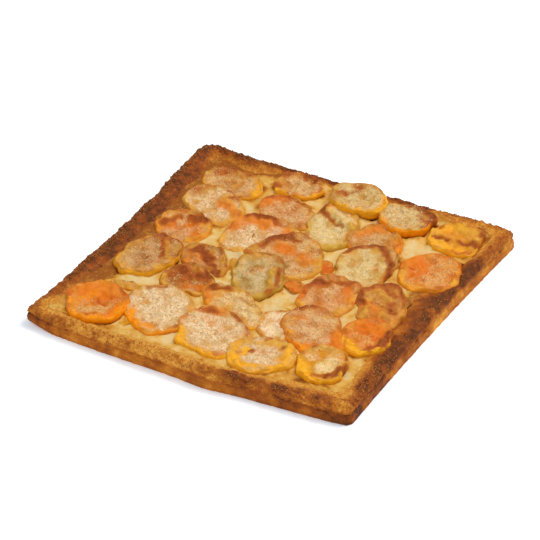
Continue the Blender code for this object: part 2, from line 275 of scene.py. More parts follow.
@dataclass(frozen=True)
class PastryFinish:
    """Browned puff pastry: golden, orange-brown, red-brown or burnt, as the mesh says, with painted shade that
    the mesh puts on the outer wall and in its crease.
    """

    golden: Color = (0.78, 0.35, 0.050)
    amber: Color = (0.53, 0.165, 0.012)
    russet: Color = (0.31, 0.074, 0.008)
    burnt: Color = (0.12, 0.032, 0.006)
    scorched: Color = (0.33, 0.064, 0.010)
    glazed: Color = (0.68, 0.35, 0.06)
    flaky: Color = (0.74, 0.38, 0.14)

    def material(self) -> bpy.types.Material:
        """Build the material.

        Returns:
            The finished material.
        """
        s = Shader("baked_pastry")
        bake_and_shade = s.attribute("bake_and_shade")
        wall = s.attribute("wall")
        blotch = s.noise(7.5, 4.0, 0.6)
        grain = s.noise(1.5, 3.0, 0.65, 3.0)
        fine = s.noise(0.7, 2.0, 0.6, 5.0)
        mottle = (blotch - 0.5) * (1.25 - 0.6 * wall) + (grain - 0.5) * (1.0 - 0.6 * wall)
        mottle = mottle + (fine - 0.5) * (0.3 - 0.1 * wall)
        stops = ((0.0, self.golden), (0.34, self.amber), (0.68, self.russet), (1.0, self.burnt))
        color = s.ramp(bake_and_shade + mottle, stops)
        flake = s.cells(1.7).between(0.32, 0.12) * s.noise(5.0, 2.0, 0.5, 9.0).between(0.45, 0.62)
        color = s.mix(flake * (1.0 - wall) * 0.40, color, self.flaky)
        scorch = s.noise(5.0, 4.0, 0.65, 12.0).between(0.50, 0.62) * bake_and_shade.between(-0.1, 0.45)
        color = s.mix(scorch * (1.0 - 0.7 * wall) * 0.75, color, self.scorched)
        glaze = s.attribute("glaze") * (0.75 + 0.5 * blotch) * bake_and_shade.between(0.75, 0.25)
        color = s.mix(glaze, color, s.mix(grain.between(0.4, 0.6), self.glazed, self.amber))
        height = (blotch * 0.3 + grain * 0.5 + fine * 0.3) * (1.0 - 0.6 * wall)
        return s.finish(color, 0.42 + 0.35 * grain, height, 1.1, 0.10, (0.05, 0.002))


@dataclass(frozen=True)
class CustardFinish:
    """Set custard: pale cream, golden and then brown where it meets the rim, and darker where it meets the
    fruit, partly browning and partly painted shade.
    """

    cream: Color = (0.71, 0.51, 0.23)
    yellow: Color = (0.70, 0.40, 0.09)
    amber: Color = (0.58, 0.25, 0.025)
    brown: Color = (0.30, 0.082, 0.006)
    light_freckle: Color = (0.86, 0.64, 0.34)
    dark_freckle: Color = (0.48, 0.20, 0.05)

    def material(self) -> bpy.types.Material:
        """Build the material.

        Returns:
            The finished material.
        """
        s = Shader("baked_custard")
        bake_and_shade = s.attribute("bake_and_shade")
        cloud = s.noise(14.0, 3.0, 0.5)
        skin = s.noise(3.5, 3.0, 0.6, 2.0)
        freckle = s.noise(1.2, 2.0, 0.6, 4.0)
        level = bake_and_shade + (cloud - 0.5) * 0.9 + (skin - 0.5) * 0.6
        stops = ((0.05, self.cream), (0.40, self.yellow), (0.72, self.amber), (1.0, self.brown))
        color = s.ramp(level, stops)
        color = s.mix(freckle.between(0.60, 0.70) * 0.35, color, self.light_freckle)
        color = s.mix(freckle.between(0.36, 0.28) * 0.30, color, self.dark_freckle)
        height = skin * 0.7 + freckle * (0.25 + 0.9 * bake_and_shade)
        return s.finish(color, 0.34 + 0.20 * skin + 0.30 * bake_and_shade, height, 0.7, 0.14, (0.15, 0.004))


# the numbers that a piece of fruit is painted with
FRUIT_PAINT = ("toast", "glow", "gold", "dust", "skin")


class Flesh(Enum):
    """The tones of the cut faces: a main one, a deeper one that it is mottled with, and its sugared tone."""

    PEACH = ((0.64, 0.31, 0.075), (0.50, 0.17, 0.02), (0.84, 0.57, 0.27))
    PINK = ((0.66, 0.29, 0.07), (0.52, 0.14, 0.015), (0.84, 0.53, 0.25))
    PALE = ((0.74, 0.44, 0.14), (0.58, 0.26, 0.05), (0.95, 0.73, 0.46))
    CREAM = ((0.68, 0.42, 0.11), (0.52, 0.25, 0.04), (0.82, 0.62, 0.31))
    ORANGE = ((0.68, 0.22, 0.015), (0.60, 0.11, 0.002), (0.84, 0.46, 0.14))
    YELLOW = ((0.72, 0.40, 0.06), (0.60, 0.25, 0.01), (0.92, 0.68, 0.35))
    OLIVE = ((0.50, 0.30, 0.07), (0.34, 0.16, 0.02), (0.72, 0.53, 0.27))
    TAN = ((0.50, 0.21, 0.045), (0.36, 0.10, 0.010), (0.74, 0.45, 0.19))


class Skin(Enum):
    """The tones of the skin that shows below a lip."""

    ORANGE = (0.97, 0.30, 0.001)
    OCHRE = (0.88, 0.38, 0.012)
    YELLOW = (0.93, 0.41, 0.012)
    OLIVE = (0.62, 0.34, 0.03)
    RUSSET = (0.56, 0.19, 0.006)


def darker(color: Color, share: float) -> Color:
    """A colour with only this share of its light."""
    return tuple(share * part for part in color)


@dataclass(frozen=True)
class FruitFinish:
    """Baked apricot of one tone, dusted with sugar and toasted where the mesh says."""

    name: str
    flesh: Flesh
    skin: Skin
    gold: Color = (0.74, 0.37, 0.04)
    glow: Color = (0.76, 0.18, 0.006)
    toast: Color = (0.40, 0.082, 0.010)
    burnt: Color = (0.17, 0.034, 0.005)
    speck: Color = (0.22, 0.07, 0.02)

    def material(self) -> bpy.types.Material:
        """Build the material.

        Returns:
            The finished material.
        """
        s = Shader(self.name)
        toast, glow, gold, dust, skin = (s.attribute(name) for name in FRUIT_PAINT)
        cloud = s.noise(6.0, 3.0, 0.55)
        fiber = s.noise(2.2, 3.0, 0.6, 2.0)
        grain = s.noise(0.95, 2.0, 0.6, 4.0)
        main, deep, sugar = self.flesh.value
        depth = cloud * 0.60 + fiber * 0.28 + grain * 0.12 + 0.16 * (1.0 - dust)
        color = s.mix(depth.between(0.40, 0.64), main, deep)
        color = s.mix(gold * (0.4 + 0.8 * fiber), color, self.gold)
        color = s.mix(glow * (0.45 + 0.6 * fiber), color, self.glow)
        peel = s.mix(fiber.between(0.35, 0.68), self.skin.value, darker(self.skin.value, 0.82))
        color = s.mix(skin, color, peel)
        frost = (grain * 0.50 + fiber * 0.35 + cloud * 0.35 + dust * 0.22).between(0.58, 0.90)
        frost = frost * (0.15 + 0.85 * dust.between(0.05, 0.5)) * (1.0 - toast * 0.7) * (1.0 - skin)
        color = s.mix(frost * 0.85, color, sugar)
        burn = toast * (0.70 + 0.6 * fiber + 0.3 * cloud) + toast * (grain - 0.5) * 0.9
        color = s.mix(burn.between(0.05, 0.85) * 0.85, color, self.toast)
        color = s.mix(burn.between(0.75, 1.50) * 0.9, color, self.burnt)
        pit = grain.between(0.46, 0.32) * dust.between(0.1, 0.6) * (1.0 - skin)
        color = s.mix(pit * 0.40, color, darker(deep, 0.55))
        color = s.mix(s.cells(3.4).between(0.13, 0.07) * dust * 0.75, color, self.speck)
        height = fiber * 0.4 + grain * (0.25 + 0.5 * dust) * (1.0 - 0.7 * skin)
        roughness = 0.30 + 0.40 * frost + 0.12 * fiber + 0.15 * burn
        return s.finish(color, roughness, height, 1.2, 0.12, (0.12, 0.003))


@dataclass(frozen=True)
class GrainFinish:
    """Small loose grains whose tone changes from one grain to the next."""

    name: str
    light: Color
    dark: Color
    roughness: float

    def material(self) -> bpy.types.Material:
        """Build the material.

        Returns:
            The finished material.
        """
        s = Shader(self.name)
        patch = s.noise(1.3, 1.0, 0.5, 7.0)
        facet = s.noise(0.35, 1.0, 0.5, 8.0)
        color = s.mix((patch * 0.8 + facet * 0.2).between(0.36, 0.64), self.light, self.dark)
        return s.finish(color, self.roughness + 0.2 * facet, facet, 0.15, 0.3, (0.1, 0.001))


@dataclass(frozen=True)
class FloorFinish:
    """A plain white table that the sky lights from all round."""

    color: Color = (0.97, 0.975, 0.985)
    sky: Color = (0.80, 0.90, 1.0)
    brightness: float = 0.22

    def material(self) -> bpy.types.Material:
        """Build the material.

        Returns:
            The finished material.
        """
        s = Shader("white_table")
        haze = s.noise(400.0, 1.0)
        s.feed(s.surface.inputs["Emission Color"], self.sky)
        s.feed(s.surface.inputs["Emission Strength"], self.brightness)
        color = s.mix(haze * 0.1, self.color, darker(self.color, 0.98))
        return s.finish(color, 0.9 + 0.05 * haze, haze, 0.01, 0.1)


# ---- mesh helpers


def named_object(
    name: str, bm: bmesh.types.BMesh, material: bpy.types.Material, smooth: bool
) -> bpy.types.Object:
    """Turn a bmesh into a dressed object in the scene, and free it.

    Args:
        name: the piece's name.
        bm: the finished bmesh, in metres.
        material: the piece's one material.
        smooth: whether faces are shaded smoothly.

    Returns:
        The new object, at the origin.
    """
    mesh = bpy.data.meshes.new(name)
    for face in bm.faces:
        face.smooth = smooth
    bm.to_mesh(mesh)
    bm.free()
    mesh.materials.append(material)
    made = bpy.data.objects.new(name, mesh)
    bpy.context.scene.collection.objects.link(made)
    return made


def dressed_node(
    name: str, bm: bmesh.types.BMesh, material: bpy.types.Material, node: str
) -> bpy.types.Object:
    """Turn a bmesh into the visible form of one node.

    Args:
        name: the piece's name.
        bm: the finished bmesh, in metres.
        material: the piece's one material.
        node: the node that it replaces.

    Returns:
        The new object, at the origin.
    """
    bmesh.ops.recalc_face_normals(bm, faces=bm.faces[:])
    made = named_object(name, bm, material, True)
    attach(made, "root")
    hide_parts(node)
    return made


def painted_bmesh(*names: str) -> bmesh.types.BMesh:
    """An empty bmesh whose vertices can hold a number under each of these names.

    Args:
        names: what each number is called.

    Returns:
        The bmesh, still empty.
    """
    bm = bmesh.new()
    for name in names:
        bm.verts.layers.float.new(name)
    return bm


def shape_and_paint(
    bm: bmesh.types.BMesh, verts: Verts, points: np.ndarray, layers: dict[str, np.ndarray]
) -> None:
    """Move vertices to plan points in millimetres, and store numbers at them.

    Args:
        bm: a bmesh that was started with these layers.
        verts: its vertices, in the points' order.
        points: n by 3 plan points.
        layers: name to n values.
    """
    for vert, place in zip(verts, ((points - PLAN_MIDDLE) * MM).tolist()):
        vert.co = place
    for name, values in layers.items():
        layer = bm.verts.layers.float[name]
        for vert, value in zip(verts, values.tolist()):
            vert[layer] = value


def ring_stack(stations: int, rows: int, *names: str) -> tuple[bmesh.types.BMesh, Verts]:
    """A closed tube of rings: a filled circle, extruded again and again.

    Args:
        stations: points in a ring.
        rows: rings.
        names: the numbers that its vertices will be painted with.

    Returns:
        The bmesh and its vertices, station by station round the Z axis from the front left corner.
    """

    def angle(vert: bmesh.types.BMVert) -> float:
        """The vertex's turn from the front left corner."""
        return (math.atan2(vert.co.y, vert.co.x) - 1.25 * math.pi + 1e-6) % (2 * math.pi)

    bm = painted_bmesh(*names)
    first = bmesh.ops.create_circle(bm, cap_ends=True, segments=stations, radius=1.0)["verts"]
    bmesh.ops.rotate(bm, verts=first, cent=(0, 0, 0), matrix=Matrix.Rotation(math.radians(45), 3, "Z"))
    rings = [sorted(first, key=angle)]
    base = bmesh.ops.extrude_face_region(bm, geom=bm.faces[:], use_keep_orig=True)
    top = next(f for f in base["geom"] if isinstance(f, bmesh.types.BMFace))
    rings.append(sorted(top.verts, key=angle))
    while len(rings) < rows:
        top = bmesh.ops.extrude_discrete_faces(bm, faces=[top])["faces"][0]
        rings.append(sorted(top.verts, key=angle))
    return bm, [ring[station] for station in range(stations) for ring in rings]


# ---- the plan of the tart


@dataclass(frozen=True)
class Side:
    """One side of the pastry, going round anticlockwise from above.

    start, middle, end: the rim's width. crest: the rim's height in the middle of the side. bow: how far the
    side bulges out. bump, bump_at: a local bulge and its place along the side, 0 to 1.
    """

    start: float
    middle: float
    end: float
    crest: float
    bow: float
    bump: float = 0.0
    bump_at: float = 0.5


@dataclass(frozen=True)
class Corner:
    """One corner of the pastry: how square it is, its height and how far it stands out."""

    power: float
    crest: float
    out: float


@dataclass(frozen=True)
class Plan:
    """The tart's outline and the levels of its parts, in millimetres.

    crowding: how much closer the stations stand near the corners. bump_share: the length of a side's bump.
    """

    side: float = 250.0
    floor: float = 4.5
    crease: float = 6.8
    crease_depth: float = 2.2
    lift: float = 4.0
    lift_reach: float = 26.0
    crowding: float = 0.55
    custard: float = 11.0
    gap: float = 0.4
    bump_share: float = 0.08
    wall_slope: float = 0.55
    sides: tuple[Side, ...] = (
        Side(14, 12, 18, 15.0, 6.0, 2.5, 0.58),
        Side(17, 22, 12, 14.0, -2.5),
        Side(12, 10, 15, 13.5, -0.5, -4.0, 0.84),
        Side(17, 20, 17, 12.5, -2.0),
    )
    corners: tuple[Corner, ...] = (
        Corner(60, 13.0, 0.8), Corner(50, 14.0, 1.8), Corner(60, 15.0, 2.2), Corner(28, 17.0, 2.5)
    )

    def side_and_share(self, turn: float) -> tuple[int, float]:
        """Which side a place is on, and how far along it.

        Args:
            turn: 0 to 1 round the tart, anticlockwise from the front left corner.

        Returns:
            The side, 0 to 3, and the share of it, 0 to 1.
        """
        along = 4.0 * turn
        even = 2 * (along - int(along)) - 1
        run = (1 - self.crowding) * even + self.crowding * math.sin(even * math.pi / 2)
        return int(along) % 4, (run + 1) / 2

    def point(self, turn: float, inset: float) -> tuple[float, float]:
        """The point of the plan this far in from the edge.

        Args:
            turn: 0 to 1 round the tart, anticlockwise from the front left corner.
            inset: how far in from the edge.

        Returns:
            The point, in plan millimetres.
        """
        index, share = self.side_and_share(turn)
        form = self.sides[index]
        run = 2 * share - 1
        near, far = self.corners[index], self.corners[(index + 1) % 4]
        closest = near if share < 0.5 else far
        roundness = (1 + abs(run) ** closest.power) ** (1 / closest.power)
        out = near.out + (far.out - near.out) * share
        out += form.bow * math.sin(math.pi * share) ** 0.7
        out += form.bump * math.exp(-(((share - form.bump_at) / self.bump_share) ** 2))
        across = (self.side / 2 - inset + out) / roundness
        along = run * ((self.side / 2 - inset + closest.out) / roundness)
        return ((along, -across), (across, along), (-along, across), (-across, -along))[index]

    def along_side(self, turn: float, start: float, middle: float, end: float) -> float:
        """A value that is given at both ends and in the middle of a side.

        Args:
            turn: 0 to 1 round the tart, anticlockwise from the front left corner.
            start, middle, end: the value at each place, for every side.

        Returns:
            The value at this place.
        """
        share = self.side_and_share(turn)[1]
        if share < 0.5:
            return start + (middle - start) * ease(2 * share)
        return middle + (end - middle) * ease(2 * share - 1)

    def rim_width(self, turn: float) -> float:
        """How far the rim reaches in from the edge.

        Args:
            turn: 0 to 1 round the tart, anticlockwise from the front left corner.

        Returns:
            The width, in millimetres.
        """
        form = self.sides[self.side_and_share(turn)[0]]
        width = self.along_side(turn, form.start, form.middle, form.end)
        return width + 1.5 * lump(*self.point(turn, 0), 40, 30)

    def rim_crest(self, turn: float) -> float:
        """The height of the top of the rim.

        Args:
            turn: 0 to 1 round the tart, anticlockwise from the front left corner.

        Returns:
            The height over the table, in millimetres.
        """
        index = self.side_and_share(turn)[0]
        ends = self.corners[index].crest, self.corners[(index + 1) % 4].crest
        crest = self.along_side(turn, ends[0], self.sides[index].crest, ends[1])
        return crest + 0.6 * lump(*self.point(turn, 0), 9, 24)

    def corner_lift(self, turn: float) -> float:
        """How far the front left corner is off the table."""
        x, y = self.point(turn, 0)
        return self.lift * (1 - ease(math.hypot(x + self.side / 2, y + self.side / 2) / self.lift_reach))

    def wall_inset(self, turn: float, height: float) -> float:
        """How far in the rim's inner face is, from the floor up to the custard's edge."""
        return self.rim_width(turn) + self.wall_slope * (self.custard - height)

    def lofted(self, insets: np.ndarray, heights: np.ndarray) -> np.ndarray:
        """Plan points round the whole tart.

        Args:
            insets: how far in from the edge, a row for each station.
            heights: the heights of the same places.

        Returns:
            n by 3 points, station by station.
        """
        found = []
        for station, (inset, height) in enumerate(zip(insets, heights)):
            edge, inner = (np.array(self.point(station / len(insets), away)) for away in (0.0, 20.0))
            found.append(np.column_stack([edge + inset[:, None] * ((inner - edge) / 20.0), height]))
        return np.concatenate(found)


PLAN = Plan()


# ---- the pastry


# x, y, radius, depth of the darkest places on the rim
BURNT_MARKS = (
    (-58, 121, 6, 0.4), (-37, 121, 6, 0.4), (-18, 121, 5, 0.4), (56, 121, 8, 0.45), (118, 68, 9, 0.3),
    (121, -62, 9, 0.35), (14, -124, 6, 0.5), (30, -119, 5, 0.6), (40, -126, 6, 0.6), (57, -120, 6, 0.6),
    (72, -126, 6, 0.5), (88, -119, 6, 0.5), (-12, -122, 6, 0.35), (-42, -126, 5, 0.35), (-70, -120, 6, 0.35),
    (-112, 106, 12, 0.2), (-100, -128, 10, 0.25), (112, -100, 13, 0.30), (104, -117, 8, 0.30),
    (-112, -104, 12, 0.2), (-123, -120, 10, 0.35),
)


@dataclass
class PastryCase:
    """The folded pastry sheet with its rough, browned rim.

    Its profile's rows are counted from the underside's middle, 0, over the crest, 9, to the floor, 12. Bakes are
    0 for golden and 1 for burnt, and also hold painted shade on the outer wall and in its crease. even_right:
    how much smoother the right rim is than the others.
    """

    finish: PastryFinish = PastryFinish()
    plain_bake: float = 0.38
    left_bake: float = 0.54
    right_bake: float = 0.38
    back_bake: float = 0.44
    edge_bake: float = 0.20
    even_right: float = 0.75
    raised_corner: tuple[float, float] = (-122, -122)
    dark_corner: tuple[float, float] = (112, -92)
    fruit_depth: float = 2.2
    stations: int = 960
    rows: int = 72

    def profile(self, turn: float) -> np.ndarray:
        """(inset, height, roughness) of the main points, from the underside over the rim to the floor.

        Args:
            turn: 0 to 1 round the tart, anticlockwise from the front left corner.

        Returns:
            One row for each point.
        """
        width = PLAN.rim_width(turn)
        crest = PLAN.rim_crest(turn)
        lift = PLAN.corner_lift(turn)
        x, y = PLAN.point(turn, 0)
        bulge = 0.7 * lump(x, y, 21, 16)
        fold = 0.35 + 0.45 * ease(0.5 + lump(x, y, 61, 35))
        rows = [
            (30.0, 0.0, 0.0),
            (2.0, 0.0, 0.1),
            (0.4, 1.0, 0.4),
            (0.2, 3.2, 0.5),
            (0.7, PLAN.crease - 1.2, 0.6),
            (PLAN.crease_depth * fold, PLAN.crease, 0.5),
            (0.9, PLAN.crease + 1.4, 0.9),
            (1.0 - bulge, crest - 3.2, 1.0),
            (3.0, crest - 0.8, 1.0),
            (0.3 * width + 2.0, crest, 1.0),
            (0.75 * width, 0.45 * crest + 0.55 * PLAN.custard + 0.4, 0.4),
            (PLAN.wall_inset(turn, PLAN.custard), PLAN.custard, 0.2),
            (PLAN.wall_inset(turn, PLAN.floor), PLAN.floor, 0.0),
        ]
        outside = np.array(rows)
        outside[:11, 1] = outside[:11, 1] * (1 - 0.3 * lift / PLAN.lift) + lift
        outside[0, 1] = 0.15 * lift
        return outside

    def right_rim(self, x: np.ndarray, y: np.ndarray) -> np.ndarray:
        """1 on the right rim, which baked the most evenly, and 0 away from it."""
        return ease((x - 92) / 12) * ease((y + 80) / 30) * ease((92 - y) / 30)

    def bake_and_shade(self, points: np.ndarray, rows: np.ndarray) -> np.ndarray:
        """How brown the crust is at each point: darkest on the left rim, lighter at the front and back, with
        painted shade that darkens the outer wall and its crease.

        Args:
            points: n by 3 plan points.
            rows: where each point lies along the profile.

        Returns:
            How brown each point is, with the painted shade, 0 to 1.
        """
        x, y, _ = points.T
        top = ease((rows - 5.6) / 1.4)
        left = ease((-x - 84) / 14) * ease((y + 120) / 70) * (0.15 + 0.85 * ease((114 - y) / 26))
        right = self.right_rim(x, y)
        back = ease((y - 100) / 8) * ease((64 - x) / 24)
        front = ease((-y - 100) / 12)
        worn = front * spot(x - 62, 30)
        edge = ease((rows - 6.0) / 1.5) * ease((9.6 - rows) / 1.4)
        pale_front = (0.46 - 0.28 * ease(x / 40)) * front
        level = self.left_bake * left + self.right_bake * right + self.back_bake * back - pale_front
        level = self.plain_bake + top * level + self.edge_bake * edge
        # the last term is painted shade: a darker line along the crease of the outer wall
        level += (0.22 * top + 0.20 * (1 - top)) * worn + 0.06 * spot(rows - 5.1, 0.45)
        # painted shade: the outer wall and underside darker than the top, and the front wall darker towards the
        # right and lighter towards the left
        level += (1 - top) * (0.06 + 0.20 * front * np.clip(x / 90, -1, 1))
        level += (1 - top) * (0.12 - 0.26 * ease((y + 60) / 90)) * ease((x - 105) / 12)
        level += 0.20 * spot(distance(points, *self.dark_corner), 30)
        level += 0.6 * (1 - top) * spot(distance(points, *self.raised_corner), 22)
        for mark_x, mark_y, radius, depth in BURNT_MARKS:
            level += depth * top * spot(distance(points, mark_x, mark_y), radius)
        inner = ease((rows - 8.6) / 2.2)
        level += 0.16 * lumps(points, 16, 3.3) + 0.10 * creases(points, 8.0, 5.1)
        return level * (1 - 0.75 * inner * (1 - np.maximum(0.9 * left, 0.8 * right)))

    def build(self) -> bpy.types.Object:
        """Loft, roughen and dress the case.

        Returns:
            The dressed object.
        """
        # few rings on the underside and on the hidden inner wall
        places = np.concatenate([[0.0, 0.6], np.linspace(1.0, 11.0, self.rows - 4), [11.5, 12.0]])
        main = np.array([self.profile(station / self.stations) for station in range(self.stations)])
        inset, height, rough = (catmull(main[:, :, column], places) for column in range(3))
        along_inset = np.gradient(inset, axis=1)
        along_height = np.gradient(height, axis=1)
        length = np.hypot(along_inset, along_height) + 1e-9
        flat = PLAN.lofted(inset, height)
        where = flat * np.array([1.0, 1.0, 1.6])
        crag = layered(where, (0.36, 11.0, 0.3), (0.42, 2.6, 2.9), (0.24, 1.3, 4.1))
        crag += 0.50 * creases(where, 5.0, 1.7)
        layers = np.sin(2.4 * flat[:, 2] + 2.0 * lumps(flat, 14.0, 5.0)).reshape(inset.shape)
        crag = (crag - 0.05).reshape(inset.shape) * rough
        crag += 0.12 * layers * ease(7.5 - places) * (places > 1.5)
        inset = inset - crag * along_height / length
        height = np.maximum(0.0, height + crag * along_inset / length)
        points = PLAN.lofted(inset, height)
        rows = np.tile(places, self.stations)
        points[:, 2] = self.pressed(points, rows)
        x, y, _ = points.T
        shiny = 0.3 + 0.7 * ease((-y - 70) / 30)
        painted = {
            "bake_and_shade": self.bake_and_shade(points, rows),
            "wall": np.maximum(self.even_right * self.right_rim(x, y), ease((5.4 - rows) / 0.8)),
            "glaze": shiny * ease((rows - 8.3 - 0.5 * lumps(points, 9.0, 8.0)) / 1.3),
            "crumbly": ease((rows - 5.6) / 0.6) * ease((9.3 - rows) / 0.8),
        }
        bm, verts = ring_stack(self.stations, self.rows, *painted)
        shape_and_paint(bm, verts, points, painted)
        return dressed_node("pastry", bm, self.finish.material(), "pastry_case")

    def pressed(self, points: np.ndarray, rows: np.ndarray) -> np.ndarray:
        """The heights of the case's points, with the inner slope pressed down under the fruit.

        Args:
            points: n by 3 plan points.
            rows: where each point lies along the profile.

        Returns:
            n heights.
        """
        height = points[:, 2].copy()
        slope = np.flatnonzero(rows > 7.5)
        x, y = points[slope, 0], points[slope, 1]
        for half in HALVES:
            inside = ease((1.0 - half.distance_outside(x, y)) / 1.5)
            under = half.lip_toward(np.arctan2(y - half.y, x - half.x)) - self.fruit_depth
            height[slope] -= inside * np.maximum(0.0, height[slope] - under)
        return height


def distance(points: np.ndarray, x: float, y: float) -> np.ndarray:
    """How far points are from a place in the plan."""
    return np.hypot(points[:, 0] - x, points[:, 1] - y)


def catmull(values: np.ndarray, places: np.ndarray) -> np.ndarray:
    """Smooth curves through rows of values.

    Args:
        values: one row for each curve.
        places: where to read the curves, counted in values from the first.

    Returns:
        One row for each curve, read at each place.
    """
    last = values.shape[1] - 1
    base = np.clip(np.floor(places).astype(int), 0, last - 1)
    t = places - base
    p0, p1, p2, p3 = (values[:, np.clip(base + step, 0, last)] for step in (-1, 0, 1, 2))
    m1, m2 = 0.38 * (p2 - p0), 0.38 * (p3 - p1)
    start = (2 * t**3 - 3 * t**2 + 1) * p1 + (t**3 - 2 * t**2 + t) * m1
    return start + (-2 * t**3 + 3 * t**2) * p2 + (t**3 - t**2) * m2


# ---- the apricots


class Mark(Enum):
    """What a marked line adds to the painted numbers, for each unit of its strength."""

    TOAST = {"toast": 1.0, "dust": -0.6}
    GLOW = {"glow": 1.0, "dust": -0.4}
    DUST = {"dust": 1.0, "toast": -1.0}
    PEEL = {"skin": 1.0, "toast": -0.5}
    BARE = {"dust": -1.0}


@dataclass(frozen=True)
class Line:
    """A line on a cut face, between two points of the tart's plan."""

    x0: float
    y0: float
    x1: float
    y1: float

    def near(self, x: np.ndarray, y: np.ndarray, width: float) -> np.ndarray:
        """1 on the line, falling to 0 over a width.

        Args:
            x, y: places in the plan.
            width: how far from the line it fades.

        Returns:
            The share at each place.
        """
        dx, dy = self.x1 - self.x0, self.y1 - self.y0
        share = np.clip(((x - self.x0) * dx + (y - self.y0) * dy) / (dx * dx + dy * dy), 0.0, 1.0)
        return spot(np.hypot(x - self.x0 - share * dx, y - self.y0 - share * dy), width)


@dataclass(frozen=True)
class Stroke(Line):
    """A marked line."""

    width: float
    strength: float
    mark: Mark


@dataclass(frozen=True)
class Ridge(Line):
    """A fold or curled edge that stands up."""

    height: float
    width: float


@dataclass(frozen=True)
class Pull:
    """A corner that stands out from a piece's outline.

    to: its direction in the plan, in degrees. out: how far. spread: its half width, in degrees.
    """

    to: float
    out: float
    spread: float


